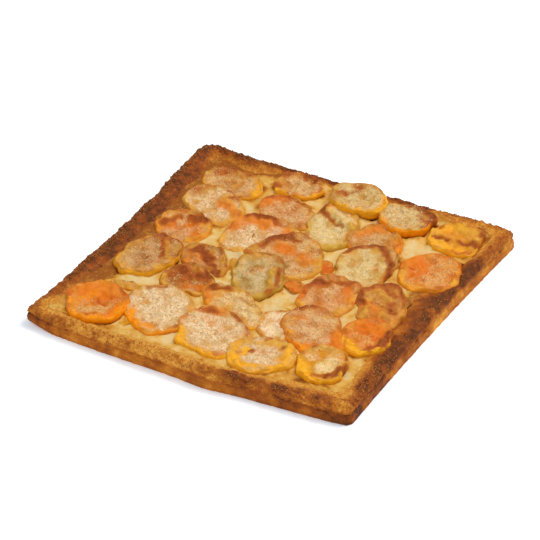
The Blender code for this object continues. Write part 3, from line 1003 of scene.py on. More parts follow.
@dataclass(frozen=True)
class Half:
    """One piece of apricot, cut face up.

    x, y, turn: the middle and the long axis, in plan. length, width: across the lip. lip: the lip's height.
    rise, rise_to: how much higher the lip stands in one direction, in degrees from +X. tilt: how much the whole
    piece climbs in that direction, over its half width. dish: how deep the face sinks. dust: how much sugar lies
    on it. back_toast: how brown its higher edge is. sunk: the share of its side that the custard covers. grow:
    how far its back edge has spread. smallest_half: shorter pieces are wedges. face_share: the share of the rows
    on the face. face_edge, lip_reach, lip_glow: how far the lip's forms and tones reach, as shares of the rows.
    ceiling: bumps above it are halved.
    """

    number: int
    x: float
    y: float
    length: float
    width: float
    turn: float
    lip: float
    rise: float = 1
    rise_to: float = 100
    tilt: float = 0.5
    dish: float = 1.5
    squareness: float = 2.3
    flesh: Flesh = Flesh.PEACH
    skin: Skin = Skin.OCHRE
    dust: float = 0.55
    back_toast: float = 0.35
    sunk: float = 0.9
    grow: float = 2.6
    pulls: tuple[Pull, ...] = ()
    ridges: tuple[Ridge, ...] = ()
    strokes: tuple[Stroke, ...] = ()

    smallest_half: float = 20
    face_share: float = 3 / 7
    face_edge: float = 0.035
    lip_reach: float = 0.06
    lip_glow: float = 0.13
    roll_share: float = 0.25
    lip_ring: float = 0.93
    lip_roll: float = 2.4
    underside: float = 6.5
    pattern_level: float = 100.0
    ceiling: float = 20.8

    def outline(self, angle: np.ndarray) -> np.ndarray:
        """The lip's distance from the middle, in directions of the piece's own frame.

        Args:
            angle: directions in radians.

        Returns:
            The distance in each direction, in millimetres.
        """
        along = np.abs(np.cos(angle)) / (self.length / 2)
        across = np.abs(np.sin(angle)) / (self.width / 2)
        power = self.squareness
        radius = (along**power + across**power) ** (-1 / power)
        circle = np.column_stack([np.cos(angle), np.sin(angle), np.full_like(angle, 1.5)]) * 2
        circle += [self.x, self.y, 0]
        radius = radius * (1 + layered(circle, (0.085, 1.6, 0.0), (0.045, 0.6, 7.7)))
        if self.length > self.smallest_half:
            radius = radius + self.grow * (0.5 + 0.5 * np.cos(angle + math.radians(self.turn - BACK))) ** 1.5
        for pull in self.pulls:
            away = (np.degrees(angle) + self.turn - pull.to + 180) % 360 - 180
            radius = radius + pull.out * spot(away, pull.spread)
        return radius

    def distance_outside(self, x: np.ndarray, y: np.ndarray) -> np.ndarray:
        """Roughly how far points of the plan are outside the lip, or below 0 inside it.

        Args:
            x, y: places in the plan.

        Returns:
            The distance of each place, in millimetres.
        """
        dx, dy = x - self.x, y - self.y
        turned = np.arctan2(dy, dx) - math.radians(self.turn)
        angle = (turned + math.pi) % (2 * math.pi) - math.pi
        round_it = np.linspace(-math.pi, math.pi, 181)
        return np.hypot(dx, dy) - np.interp(angle, round_it, self.outline(round_it))

    def lip_toward(self, angle: np.ndarray) -> np.ndarray:
        """The lip's height over the table, in directions of the plan."""
        towards = np.cos(angle - math.radians(self.rise_to))
        return self.lip + self.rise * np.maximum(0.0, towards) ** 2 + self.tilt * towards

    def custard_climb(self, x: np.ndarray, y: np.ndarray, outside: np.ndarray) -> np.ndarray:
        """How far over its level the custard climbs up this piece: most at the back, and in patches.

        Args:
            x, y: places in the plan.
            outside: how far each place is outside the piece's lip.

        Returns:
            The climb at each place, in millimetres.
        """
        angle = np.arctan2(y - self.y, x - self.x)
        front = 0.5 + 0.5 * np.cos(angle - math.radians(FRONT))
        places = np.column_stack([x, y, np.full_like(x, self.x)])
        share = self.sunk * (1.15 - (1.0 - 0.5 * self.sunk) * front) + 0.22 * lumps(places, 9.0, 4.0)
        near = spot(np.maximum(0.0, outside), 3.4 + 1.6 * lumps(places, 12.0, 8.0), 1.5)
        return near * np.clip(share, 0.0, 1.0) * (self.lip_toward(angle) - 0.9 - PLAN.custard)

    def form(self, latitude: np.ndarray, angle: np.ndarray) -> tuple[np.ndarray, np.ndarray]:
        """The piece's plain form.

        Args:
            latitude: 0 at the face's middle, 1 at the underside's.
            angle: round the piece, from its long axis.

        Returns:
            n by 3 plan points, and how far out each one is as a share of the outline.
        """
        turn = math.radians(self.turn)
        radius = self.outline(angle)
        towards = np.cos(angle + turn - math.radians(self.rise_to))
        lip = self.lip + self.rise * np.maximum(0.0, towards) ** 2
        face = latitude <= self.face_share
        out_face = self.lip_ring * latitude / self.face_share
        middle = self.lip + 0.3 * self.rise - self.dish
        high_face = middle + (lip - middle) * (out_face / self.lip_ring) ** 2.6
        under = (latitude - self.face_share) / (1 - self.face_share)
        roll = np.clip(under / self.roll_share, 0, 1) * math.pi / 2
        out_roll = self.lip_ring + (1 - self.lip_ring) * np.sin(roll)
        high_roll = lip - self.lip_roll * (1 - np.cos(roll))
        bend = np.clip((under - self.roll_share) / (1 - self.roll_share), 0, 1) * math.pi / 2
        out_skin = np.maximum(0.0, np.cos(bend)) ** 0.7
        shoulder = lip - self.lip_roll
        high_skin = shoulder - (shoulder - self.underside) * np.sin(bend)
        rolling = under < self.roll_share
        out = np.where(face, out_face, np.where(rolling, out_roll, out_skin))
        high = np.where(face, high_face, np.where(rolling, high_roll, high_skin))
        x = self.x + out * radius * np.cos(angle + turn)
        y = self.y + out * radius * np.sin(angle + turn)
        high = high + self.tilt * towards * out
        fade = np.clip(1.0 - np.maximum(0.0, under) / self.roll_share, 0.0, 1.0)
        for ridge in self.ridges:
            high = high + fade * ridge.height * ridge.near(x + 1.6 * np.sin(y * 0.55), y, ridge.width)
        return np.column_stack([x, y, np.maximum(self.underside, high)]), out

    def painted(
        self, flat: np.ndarray, points: np.ndarray, latitude: np.ndarray, angle: np.ndarray, out: np.ndarray
    ) -> dict[str, np.ndarray]:
        """The numbers that the piece is painted with.

        Args:
            flat: where each point reads its patterns.
            points: n by 3 plan points.
            latitude, angle: the points' places on the piece, as in form.
            out: how far out they are, as a share of the outline.

        Returns:
            Name to a value from 0 to 1 at each point.
        """
        x, y, _ = points.T
        plan_angle = angle + math.radians(self.turn)
        inside = self.face_share - latitude
        front = self.front(plan_angle)
        skin = self.skin_share(latitude, front)
        rim = spot(inside, self.lip_reach)
        on_face = ease(inside / self.face_edge + 0.5)
        back = rim * ease(np.cos(plan_angle - math.radians(self.rise_to)) * 1.2) * (1 - skin * 0.5)
        patchy = ease(0.55 + 0.9 * lumps(flat, 11.0, 21.3))
        lip_band = spot(np.maximum(0.0, inside), 0.02 + 0.07 * patchy)
        skin = np.maximum(skin, lip_band * patchy * front) * min(1.0, 1.3 - self.sunk)
        wide = spot(inside, self.lip_glow) * (inside > 0)
        toast = self.back_toast * back + 0.34 * (rim + 0.4 * wide) * ease(1.4 * lumps(flat, 8.0, 4.4))
        toast += 0.4 * self.back_toast * on_face * ease(2.2 * lumps(flat, 3.5, 14.4) - 0.6)
        glow = 0.45 * on_face * ease(1.6 * lumps(flat, 9.0, 15.9) - 0.6)
        gold = 0.70 * wide * patchy + 0.45 * on_face * ease(1.1 * lumps(flat, 5.0, 5.9) - 0.2)
        gold += 0.7 * self.sunk * rim * front * ease(0.4 + lumps(flat, 7.0, 40.0))
        spread = 1 - 0.6 * np.clip(out / self.lip_ring, 0, 1) ** 6
        dust = self.dust * on_face * spread * (0.80 + 0.45 * lumps(flat, 7.5, 2.2))
        for ridge in self.ridges:
            on_ridge = ridge.near(x, y, ridge.width * 0.8)
            gold += 0.6 * on_ridge
            dust -= 0.5 * on_ridge
        layers = dict(zip(FRUIT_PAINT, (toast, glow, gold, dust, skin)))
        wavy_x, wavy_y = x + 1.0 * lumps(flat, 5.0, 3.0), y + 1.0 * lumps(flat, 5.0, 7.0)
        for stroke in self.strokes:
            weight = stroke.strength * stroke.near(wavy_x, wavy_y, stroke.width)
            for name, share in stroke.mark.value.items():
                layers[name] = layers[name] + share * weight
        return {name: np.clip(values, 0.0, 1.0) for name, values in layers.items()}

    def front(self, plan_angle: np.ndarray) -> np.ndarray:
        """1 at the front of the piece and 0 at its back."""
        return ease(0.55 - 0.8 * np.cos(plan_angle - math.radians(110)))

    def skin_share(self, latitude: np.ndarray, front: np.ndarray) -> np.ndarray:
        """1 on the skin and 0 on the face: the skin starts just below the lip, and lower at the back."""
        under = (latitude - self.face_share) / (1 - self.face_share)
        return ease((under + 0.02 - 0.12 * (1 - front)) / 0.16)

    def build(self) -> bpy.types.Object:
        """Shape, wrinkle, paint and dress the piece.

        Returns:
            The dressed object.
        """
        around, down = (112, 66) if self.length > self.smallest_half else (56, 34)
        bm = painted_bmesh(*FRUIT_PAINT)
        bmesh.ops.create_uvsphere(bm, u_segments=around, v_segments=down, radius=1.0)
        unit = np.array([vert.co for vert in bm.verts])
        latitude = np.arccos(np.clip(unit[:, 2], -1, 1)) / math.pi
        angle = np.arctan2(unit[:, 1], unit[:, 0])
        points, out = self.form(latitude, angle)
        x, y, z = points.T
        plan_angle = angle + math.radians(self.turn)
        inside = self.face_share - latitude
        flat = np.column_stack([x, y, np.full_like(x, self.pattern_level)])
        steep = np.column_stack([x, y, z * 0.45])
        wrinkle = 0.55 * creases(flat, 9.0, self.x) + layered(flat, (0.60, 5.0, 1.1), (0.34, 2.3, 2.3))
        lift = ease(inside / self.face_edge + 0.5) * (1.15 * wrinkle + 0.18 * lumps(flat, 1.0, 3.1))
        high = z + lift + spot(inside, self.lip_reach) * 0.90 * lumps(steep, 4.5, 9.1)
        points[:, 2] = np.maximum(self.underside, high - 0.5 * np.maximum(0.0, high - self.ceiling))
        skin = self.skin_share(latitude, self.front(plan_angle))
        swell = skin * layered(steep, (0.18, 6.0, 6.1), (0.06, 2.0, 8.8))
        swell *= -inside / (1 - self.face_share) < 0.9
        points[:, 0] += swell * np.cos(plan_angle)
        points[:, 1] += swell * np.sin(plan_angle)
        shape_and_paint(bm, bm.verts[:], points, self.painted(flat, points, latitude, angle, out))
        finish = FruitFinish(f"fruit_{self.number:02d}", self.flesh, self.skin)
        node = f"apricot_{self.number:02d}"
        return dressed_node(f"half_{self.number:02d}", bm, finish.material(), node)


# marked lines: x and y of both ends, width, strength
toast, glow, sugared, peeled, bare = (partial(Stroke, mark=mark) for mark in Mark)

HALVES = (
    Half(1, -83, 87, 48, 31, -4, 14, tilt=1, dish=1, dust=0.7, sunk=0.7, grow=0, pulls=(Pull(327, 3, 30),),
        strokes=(peeled(-61, 96, -60, 80, 3, 0.8), glow(-62, 98, -58, 78, 3, 0.5),
        toast(-97, 92, -92, 96, 5, 0.5), toast(-84, 102, -78, 103, 4, 0.5))),
    Half(2, -79, 53, 54, 36, -38, 13.5, rise=0.5, tilt=1, flesh=Flesh.PALE, dust=0.6,
        ridges=(Ridge(-76, 65, -58, 49, 3, 4),), strokes=(toast(-72, 65, -69, 66, 2.5, 0.8),
        glow(-73, 57, -56, 48, 4.5, 1), toast(-98, 64, -94, 70, 4, 0.3))),
    Half(3, -36, 104, 40, 29, 0, 15.5, dish=3, back_toast=0.3, sunk=0.3, grow=0,
        strokes=(glow(-31, 90, -19, 89, 4, 0.8), glow(-20, 89, -17, 104, 4, 0.8),
        toast(-52, 92, -50, 98, 3, 0.9), toast(-37, 116, -29, 115, 3, 0.8),
        sugared(-34, 104, -33, 103, 7, 0.5))),
    Half(4, -27, 69, 48, 32, -15, 13.7, rise_to=120, tilt=1.2, dish=2, flesh=Flesh.PINK, dust=0.6, grow=1,
        pulls=(Pull(230, 3, 25),), strokes=(glow(-50, 69, -46, 77, 4, 1), glow(-46, 77, -34, 85, 4, 0.8),
        toast(-34, 86, -22, 85, 2, 0.3))),
    Half(5, 13, 104, 46, 32, -8, 19.5, rise=1.5, rise_to=70, tilt=1, dish=2, flesh=Flesh.CREAM, dust=0.8,
        back_toast=0.25, sunk=0.15, grow=0, pulls=(Pull(80, 3, 20),),
        strokes=(peeled(31, 112, 34, 97, 3.5, 0.8), peeled(34, 96, 26, 88, 2.5, 0.6),
        glow(36, 105, 30, 92, 3, 0.4), toast(-5, 103, 0, 106, 3, 0.6), toast(2, 106, 8, 111, 3, 0.5),
        toast(4, 116, 11, 116, 2.5, 0.5))),
    Half(6, 54, 97, 42, 32, -10, 18.5, rise=1.5, rise_to=55, dish=2, flesh=Flesh.CREAM, skin=Skin.ORANGE,
        dust=0.75, back_toast=0.7, sunk=0.15, grow=0, pulls=(Pull(29, 2, 20),),
        strokes=(toast(61, 110, 71, 106, 3, 0.9), toast(71, 106, 76, 98, 3, 1),
        toast(61, 103, 70, 98, 3, 0.4))),
    Half(7, 94, 95, 42, 38, 0, 14.5, rise=0.5, flesh=Flesh.YELLOW, skin=Skin.YELLOW, dust=0.3, sunk=0.5,
        grow=0, ridges=(Ridge(80, 94, 92, 93, 2.8, 3.5), Ridge(100, 95, 113, 98, 2.8, 3.5),
        Ridge(84, 104, 100, 106, 1.5, 4)), strokes=(peeled(80, 99, 91, 112, 5, 0.6),
        peeled(85, 84, 102, 84, 4, 0.8), toast(80, 90, 91, 89, 2.2, 1), toast(100, 91, 113, 94, 2.2, 1),
        toast(110, 108, 115, 100, 2.5, 1), glow(86, 99, 100, 94, 6, 0.5), glow(100, 80, 111, 81, 5, 0.9))),
    Half(8, 11, 65, 54, 35, 105, 14.5, rise=0, flesh=Flesh.CREAM, skin=Skin.OLIVE, dust=0.7, sunk=0.5,
        ridges=(Ridge(-3, 85, 24, 71, 4, 4.5),), strokes=(toast(-7, 86, -4, 82, 2.4, 1.1),
        toast(-5, 81, 8, 73, 1.6, 0.9), toast(8, 73, 18, 69, 1.6, 0.6), toast(-6, 88, 1, 91, 2, 0.8),
        sugared(4, 84, 20, 76, 5, 0.4), sugared(2, 66, 14, 50, 7, 0.4))),
    Half(9, 47, 63, 41, 37, 0, 14.5, tilt=1, dish=2, skin=Skin.ORANGE, sunk=0.45,
        strokes=(glow(62, 72, 66, 54, 4, 0.9), glow(33, 65, 40, 77, 4, 0.8), glow(40, 78, 55, 81, 3, 0.6))),
    Half(10, 98, 46, 49, 43, 100, 14.5, flesh=Flesh.ORANGE, dust=0.5, back_toast=0.15, sunk=0.8, grow=0,
        strokes=(glow(78, 57, 88, 41, 6, 0.9), glow(87, 56, 96, 47, 5, 0.9),
        toast(84, 45, 85, 46, 2.2, 0.7), sugared(104, 40, 106, 54, 8, 0.4))),
    Half(11, 55, 30, 54, 39, 108, 14.5, rise=1.5, rise_to=70, tilt=1, flesh=Flesh.CREAM, skin=Skin.RUSSET,
        dust=0.85, back_toast=0.3, sunk=0.6, pulls=(Pull(-45, 4, 22), Pull(60, 3, 20)),
        strokes=(toast(34, 41, 38, 51, 2.2, 0.8), toast(38, 51, 54, 57, 2, 0.8),
        toast(56, 56, 67, 45, 2.5, 0.9), toast(70, 42, 78, 20, 2, 1.3), toast(78, 19, 75, 11, 2, 0.9))),
    Half(12, -33, 29, 43, 45, 10, 13.7, rise=4, rise_to=98, tilt=2, flesh=Flesh.PALE, dust=0.75,
        back_toast=0.1, grow=0, pulls=(Pull(215, 3, 25), Pull(45, 7, 26)),
        strokes=(glow(-52, 32, -45, 43, 5, 1.1), glow(-45, 43, -34, 48, 5.5, 1.2),
        glow(-34, 47, -12, 44, 5.5, 1.1), toast(-46, 47, -30, 51, 2.4, 0.9),
        toast(-30, 51, -18, 48, 1.8, 0.6), toast(-41, 3, -40, 4, 2.5, 0.5))),
    Half(13, 31, 20, 18, 9, -60, 12.5, rise=0, tilt=0, dish=0.5, flesh=Flesh.ORANGE, skin=Skin.ORANGE,
        dust=0.05),
    Half(14, 4, 18, 50, 46, -45, 14, rise=3, rise_to=130, tilt=1.5, dust=0.65, back_toast=0.3,
        pulls=(Pull(198, 10, 16),), strokes=(toast(-20, 18, -17, 29, 2.2, 0.8),
        toast(-17, 29, -11, 35, 2.4, 1), toast(-11, 35, 0, 37, 2.2, 0.9), toast(-19, 7, -18, 8, 3, 0.9),
        glow(-7, 27, 17, 20, 6, 0.8), glow(-15, 16, -7, 22, 5, 0.5))),
    Half(15, -83, 18, 42, 35, -5, 13.5, rise=2, rise_to=95, tilt=1.5, flesh=Flesh.PINK, back_toast=0.1,
        sunk=0.8, grow=0, ridges=(Ridge(-98, 17, -91, 25, 2.5, 3.5), Ridge(-83, 29, -72, 29, 2.5, 3.5)),
        strokes=(toast(-98, 15, -90, 25, 3, 0.9), toast(-82, 29, -70, 29, 3.2, 1.2),
        glow(-97, 11, -89, 19, 5, 0.8), glow(-79, 23, -65, 11, 6, 0.9), glow(-73, -2, -65, 3, 3, 0.8),
        sugared(-87, 26, -87, 20, 2.5, 0.8))),
    Half(16, -28, -9, 17, 9, -70, 12.5, rise=0, tilt=0, dish=0.5, flesh=Flesh.YELLOW, dust=0.3),
    Half(17, -46, -17, 46, 23, -28, 14, rise=5, rise_to=66, tilt=2, dish=1, skin=Skin.RUSSET, dust=0.6,
        back_toast=0.2, sunk=0.85, pulls=(Pull(140, 4, 15), Pull(60, 3, 15)),
        strokes=(toast(-61, -9, -56, -5, 3, 1), toast(-56, -5, -45, -14, 3, 1),
        toast(-45, -14, -33, -24, 3, 1.1), toast(-33, -24, -26, -31, 2.4, 0.9),
        glow(-58, -20, -46, -14, 4.5, 0.7))),
    Half(18, -84, -29, 53, 38, 85, 15.5, rise_to=60, flesh=Flesh.TAN, dust=0.75, back_toast=0.3, sunk=0.45,
        ridges=(Ridge(-80, -10, -72, -26, 1.5, 3),), strokes=(peeled(-86, -54, -76, -54, 2.5, 0.7),
        toast(-84, -10, -75, -26, 2, 0.7), toast(-91, -5, -79, -7, 3.5, 0.5))),
    Half(19, -43, -84, 54, 46, -35, 14.5, rise=0.5, dish=1, flesh=Flesh.PALE, skin=Skin.ORANGE, dust=1.1,
        back_toast=0.1, sunk=0.55, pulls=(Pull(150, 3, 20), Pull(290, 2, 20)),
        strokes=(peeled(-60, -92, -54, -104, 3.5, 0.8), peeled(-46, -107, -34, -107, 3, 0.8),
        sugared(-47, -88, -44, -86, 5, 1), glow(-60, -92, -52, -104, 4, 0.6),
        glow(-50, -105, -38, -104, 3, 0.7), toast(-22, -96, -20, -94, 2, 0.5))),
    Half(20, -44, -43, 41, 26, -5, 13.7, rise=3.5, rise_to=90, tilt=1.5, dish=1, flesh=Flesh.TAN,
        back_toast=0.3, sunk=0.95, strokes=(toast(-57, -43, -52, -34, 4, 0.8),
        toast(-52, -34, -46, -43, 4, 0.5), toast(-41, -36, -30, -34, 3.2, 1.3),
        glow(-42, -48, -30, -45, 4, 0.9))),
    Half(21, -4, -17, 56, 36, 112, 15.3, tilt=0.8, dish=1, flesh=Flesh.OLIVE, skin=Skin.OLIVE, dust=0.9,
        back_toast=0.2, sunk=0.55, pulls=(Pull(80, 3, 20),), ridges=(Ridge(2, -4, 9, -22, 2, 3.5),),
        strokes=(toast(6, -3, 13, -20, 1.6, 0.8), glow(-9, -12, -5, -8, 4, 0.5),
        toast(12, -24, 14, -34, 2.5, 0.4))),
    Half(22, -1, -57, 54, 30, -28, 14, tilt=1, dish=1, flesh=Flesh.YELLOW, dust=0.85, back_toast=0.2,
        sunk=0.6, pulls=(Pull(150, 3, 15), Pull(-20, 4, 18)), strokes=(peeled(18, -76, 26, -73, 3, 0.7),
        toast(-26, -44, -12, -40, 2.2, 0.9), glow(-26, -48, -19, -62, 3.5, 1.2),
        glow(-20, -54, -12, -47, 4, 0.7), glow(14, -70, 24, -70, 4, 0.5), toast(0, -46, 10, -50, 2, 0.4))),
    Half(23, 5, -92, 60, 44, -30, 14.7, rise_to=120, tilt=0.7, dish=1, flesh=Flesh.PALE, skin=Skin.YELLOW,
        dust=1, back_toast=0.1, sunk=0.35, pulls=(Pull(119, 3, 25), Pull(225, 3, 25)),
        strokes=(peeled(-18, -100, -12, -110, 4, 1), peeled(-12, -110, 6, -120, 3.5, 0.9),
        peeled(6, -120, 22, -116, 2.5, 0.8), toast(-11, -71, -8, -71, 3.5, 1.1),
        glow(-18, -72, -3, -69, 4.5, 1), glow(-9, -82, 5, -86, 4.5, 0.7), toast(4, -66, 22, -76, 1.8, 0.6),
        glow(10, -118, 24, -110, 4, 0.8), glow(-22, -88, -18, -98, 4, 0.4))),
    Half(24, 89, -11, 52, 33, 115, 15, tilt=1, dish=1, skin=Skin.RUSSET, dust=0.28, back_toast=0.85,
        pulls=(Pull(100, 4, 15),), ridges=(Ridge(80, 4, 92, -2, 2.2, 3.5),
        Ridge(84, -14, 98, -18, 2.2, 3.5), Ridge(78, -6, 84, -24, 2, 3)),
        strokes=(toast(67, -2, 74, -11, 3, 1), toast(74, -28, 81, -33, 3, 0.9),
        glow(80, -13, 88, -16, 4, 1), toast(95, -6, 99, -14, 3, 0.8), toast(82, 9, 92, 5, 3, 0.7),
        glow(92, -26, 98, -30, 4, 0.7))),
    Half(25, 97, -48, 39, 33, 100, 15.5, flesh=Flesh.ORANGE, skin=Skin.YELLOW, back_toast=0.1, sunk=0.35,
        strokes=(peeled(88, -57, 93, -62, 3.5, 0.9), peeled(94, -63, 102, -64, 3, 0.8),
        toast(105, -59, 110, -50, 3.2, 0.9), toast(110, -50, 109, -37, 3.2, 1.2),
        glow(88, -38, 101, -38, 6, 1.2), sugared(98, -54, 100, -52, 4, 0.4))),
    Half(26, 51, -16, 46, 40, 80, 14.5, rise=1.5, tilt=1.2, dish=1, flesh=Flesh.PINK, dust=0.6,
        back_toast=0.25, sunk=0.95, strokes=(toast(32, -10, 39, -1, 2.8, 0.7),
        toast(39, -1, 57, 3, 2.2, 0.7), glow(32, -30, 32, -17, 4.5, 0.9), glow(59, -1, 67, -13, 4, 0.9))),
    Half(27, 38, -62, 36, 27, 100, 13.5, rise=0, dish=0.8, flesh=Flesh.PALE, dust=1, back_toast=0.1, sunk=1,
        strokes=(toast(29, -44, 33, -38, 2.2, 0.8),)),
    Half(28, 64, -59, 48, 37, -30, 15, rise_to=120, tilt=1, dish=0.8, flesh=Flesh.PINK, skin=Skin.ORANGE,
        dust=0.85, back_toast=0.15, sunk=0.55, pulls=(Pull(-20, 4, 18), Pull(270, 3, 20), Pull(122, 7, 40)),
        strokes=(toast(35, -43, 50, -33, 2.4, 0.6), glow(82, -67, 81, -54, 6, 1.5),
        bare(82, -67, 81, -54, 6, 0.8), glow(58, -81, 67, -78, 4, 1.5), glow(67, -75, 79, -73, 4.5, 1.2),
        toast(71, -55, 75, -53, 2.5, 0.3))),
    Half(29, 45, -100, 45, 37, 20, 14.8, rise=0.5, tilt=0.3, dish=2, squareness=3.2, flesh=Flesh.PALE,
        skin=Skin.YELLOW, dust=0.9, back_toast=0.1, sunk=0.6, ridges=(Ridge(56, -82, 24, -93, 1, 3.5),
        Ridge(24, -94, 33, -117, 1, 3.5), Ridge(34, -117, 65, -106, 0.8, 3.5),
        Ridge(66, -105, 58, -83, 1.2, 3.5)), strokes=(peeled(26, -98, 29, -108, 4, 0.8),
        peeled(29, -108, 38, -117, 4, 0.7), peeled(38, -117, 62, -106, 2.8, 0.8),
        peeled(62, -104, 60, -88, 4, 0.9), toast(34, -98, 37, -97, 2, 0.9),
        toast(28, -101, 30, -101, 2, 0.8), toast(54, -86, 55, -86, 2, 0.8))),
    Half(30, 86, -91, 40, 33, 115, 15.3, rise=0.5, tilt=0.3, dish=2, flesh=Flesh.YELLOW, skin=Skin.YELLOW,
        dust=0.65, back_toast=0.1, sunk=0.35, strokes=(peeled(74, -96, 79, -106, 5, 1.1),
        peeled(80, -107, 92, -105, 3, 0.8), toast(86, -105, 97, -99, 2.8, 1),
        toast(97, -99, 101, -86, 3, 1.1), sugared(87, -93, 89, -91, 5, 0.9),
        bare(72, -103, 78, -94, 5, 0.8), glow(77, -82, 92, -75, 4, 0.4))),
    Half(31, -85, -97, 48, 42, -50, 16, rise=0, tilt=0, dish=3.8, flesh=Flesh.ORANGE, skin=Skin.ORANGE,
        dust=0.4, back_toast=0, sunk=0.3, ridges=(Ridge(-94, -84, -80, -78, 1.5, 4),
        Ridge(-90, -104, -80, -99, 1.5, 2.5), Ridge(-80, -108, -72, -102, 1.5, 2.5)),
        strokes=(peeled(-68, -92, -64, -105, 4, 0.8), peeled(-64, -106, -70, -116, 3.5, 0.8),
        peeled(-98, -101, -92, -88, 4, 0.6), glow(-100, -88, -84, -80, 7, 1.3),
        glow(-68, -94, -72, -112, 5, 1), toast(-83, -113, -79, -110, 2.6, 0.9),
        toast(-86, -94, -80, -95, 2, 0.5), toast(-90, -103, -88, -108, 2, 0.6),
        toast(-74, -98, -71, -104, 1.8, 0.6), sugared(-87, -107, -77, -104, 4.5, 1.1),
        sugared(-80, -100, -76, -98, 3, 0.6))),
    Half(32, -56, -105, 12, 8, 70, 12.8, rise=0, tilt=0, dish=0.5, flesh=Flesh.YELLOW, skin=Skin.YELLOW,
        dust=0.1),
    Half(33, -82, -68, 30, 9, 12, 12.8, rise=0, tilt=0, dish=0.5, flesh=Flesh.YELLOW, skin=Skin.YELLOW,
        dust=0.3),
    Half(34, 24, -12, 20, 12, -20, 12.5, rise=0, tilt=0, dish=0.5, skin=Skin.RUSSET, dust=0.1,
        strokes=(glow(14, -9, 30, -17, 6, 0.9),)),
)


# ---- the custard


@dataclass
class Custard:
    """The baked custard that fills the case and holds the fruit.

    under_rim: how far it runs under the rim's slope. middle: how far in from the tart's edge it meets itself.
    """

    finish: CustardFinish = CustardFinish()
    under_rim: float = 3.0
    middle: float = 118.0
    dark_corner: tuple[float, float] = (-104, 108)
    stations: int = 640
    rows: int = 96

    def insets(self, turn: float) -> tuple[np.ndarray, np.ndarray]:
        """How far in from the tart's edge, and from the rim's inner slope, each point of one station is.

        Args:
            turn: 0 to 1 round the tart, anticlockwise from the front left corner.

        Returns:
            The two distances of each point, in millimetres.
        """
        edge = PLAN.wall_inset(turn, PLAN.custard) - self.under_rim
        foot = PLAN.wall_inset(turn, PLAN.floor)
        top = edge + (self.middle - edge) * np.linspace(0.0, 1.0, self.rows - 2) ** 1.25
        from_edge = np.concatenate([[foot + 10, foot + PLAN.gap], top])
        return from_edge, from_edge - edge - self.under_rim

    def build(self) -> bpy.types.Object:
        """Pour, ripple, paint and dress the custard.

        Returns:
            The dressed object.
        """
        lines = np.array([self.insets(station / self.stations) for station in range(self.stations)])
        insets, away = lines.swapaxes(0, 1)
        heights = np.full(self.rows, PLAN.custard)
        heights[:2] = PLAN.floor + PLAN.gap
        points = PLAN.lofted(insets, np.tile(heights, (self.stations, 1)))
        away = np.maximum(0, away.ravel())
        x, y, z = points.T
        outside = [half.distance_outside(x, y) for half in HALVES]
        fruit = np.min(outside, axis=0)
        climb = np.max([half.custard_climb(x, y, out) for half, out in zip(HALVES, outside)], axis=0)
        lift = layered(points, (0.5, 26.0, 0.0), (0.35, 9.0, 2.0), (0.22, 3.0, 3.0))
        lift += 0.7 * np.exp(-away / 3.0) + climb - 5.0 * ease((-fruit - 0.3) / 2.6)
        points[:, 2] = np.where(z > PLAN.floor + 1, z + lift, z)
        bake_and_shade = 0.10 + (0.44 - 0.04 * ease((-y - 60) / 40)) * spot(away, 7.0, 1.3) + 0.06 * climb
        # partly real browning and partly painted shade: darker next to each piece of fruit, in patches
        bake_and_shade += 0.46 * np.exp(-np.maximum(0, fruit) / 3.2) * ease(0.6 + 0.9 * lumps(points, 8.0, 11.0))
        bake_and_shade += layered(points, (0.14, 20.0, 6.0), (0.14, 6.0, 7.0), (0.10, 2.5, 9.0))
        bake_and_shade += ease((-x - 86) / 13) * ease((98 - np.abs(y)) / 20)
        bake_and_shade += 0.60 * ease((x - 88) / 12) * ease((70 - np.abs(y)) / 20)
        bake_and_shade += 0.7 * spot(distance(points, *self.dark_corner), 30)
        bake_and_shade += 0.12 * ease(y / 60) + 0.10 * ease((-x - 20) / 40)
        bm, verts = ring_stack(self.stations, self.rows, "bake_and_shade")
        shape_and_paint(bm, verts, points, {"bake_and_shade": np.clip(bake_and_shade, 0, 1)})
        return dressed_node("custard_fill", bm, self.finish.material(), "custard")


# ---- grains and crumbs


def read(items: bpy.types.bpy_prop_collection, name: str, width: int = 1, kind: type = float) -> np.ndarray:
    """One property of every item of a collection, as an array with this many columns.

    Args:
        items: the collection, such as a mesh's vertices.
        name: the property to read.
        width: how many numbers the property has.
        kind: the type of its numbers.

    Returns:
        One row for each item.
    """
    found = np.empty(len(items) * width, dtype=kind)
    items.foreach_get(name, found)
    return found.reshape(-1, width) if width > 1 else found


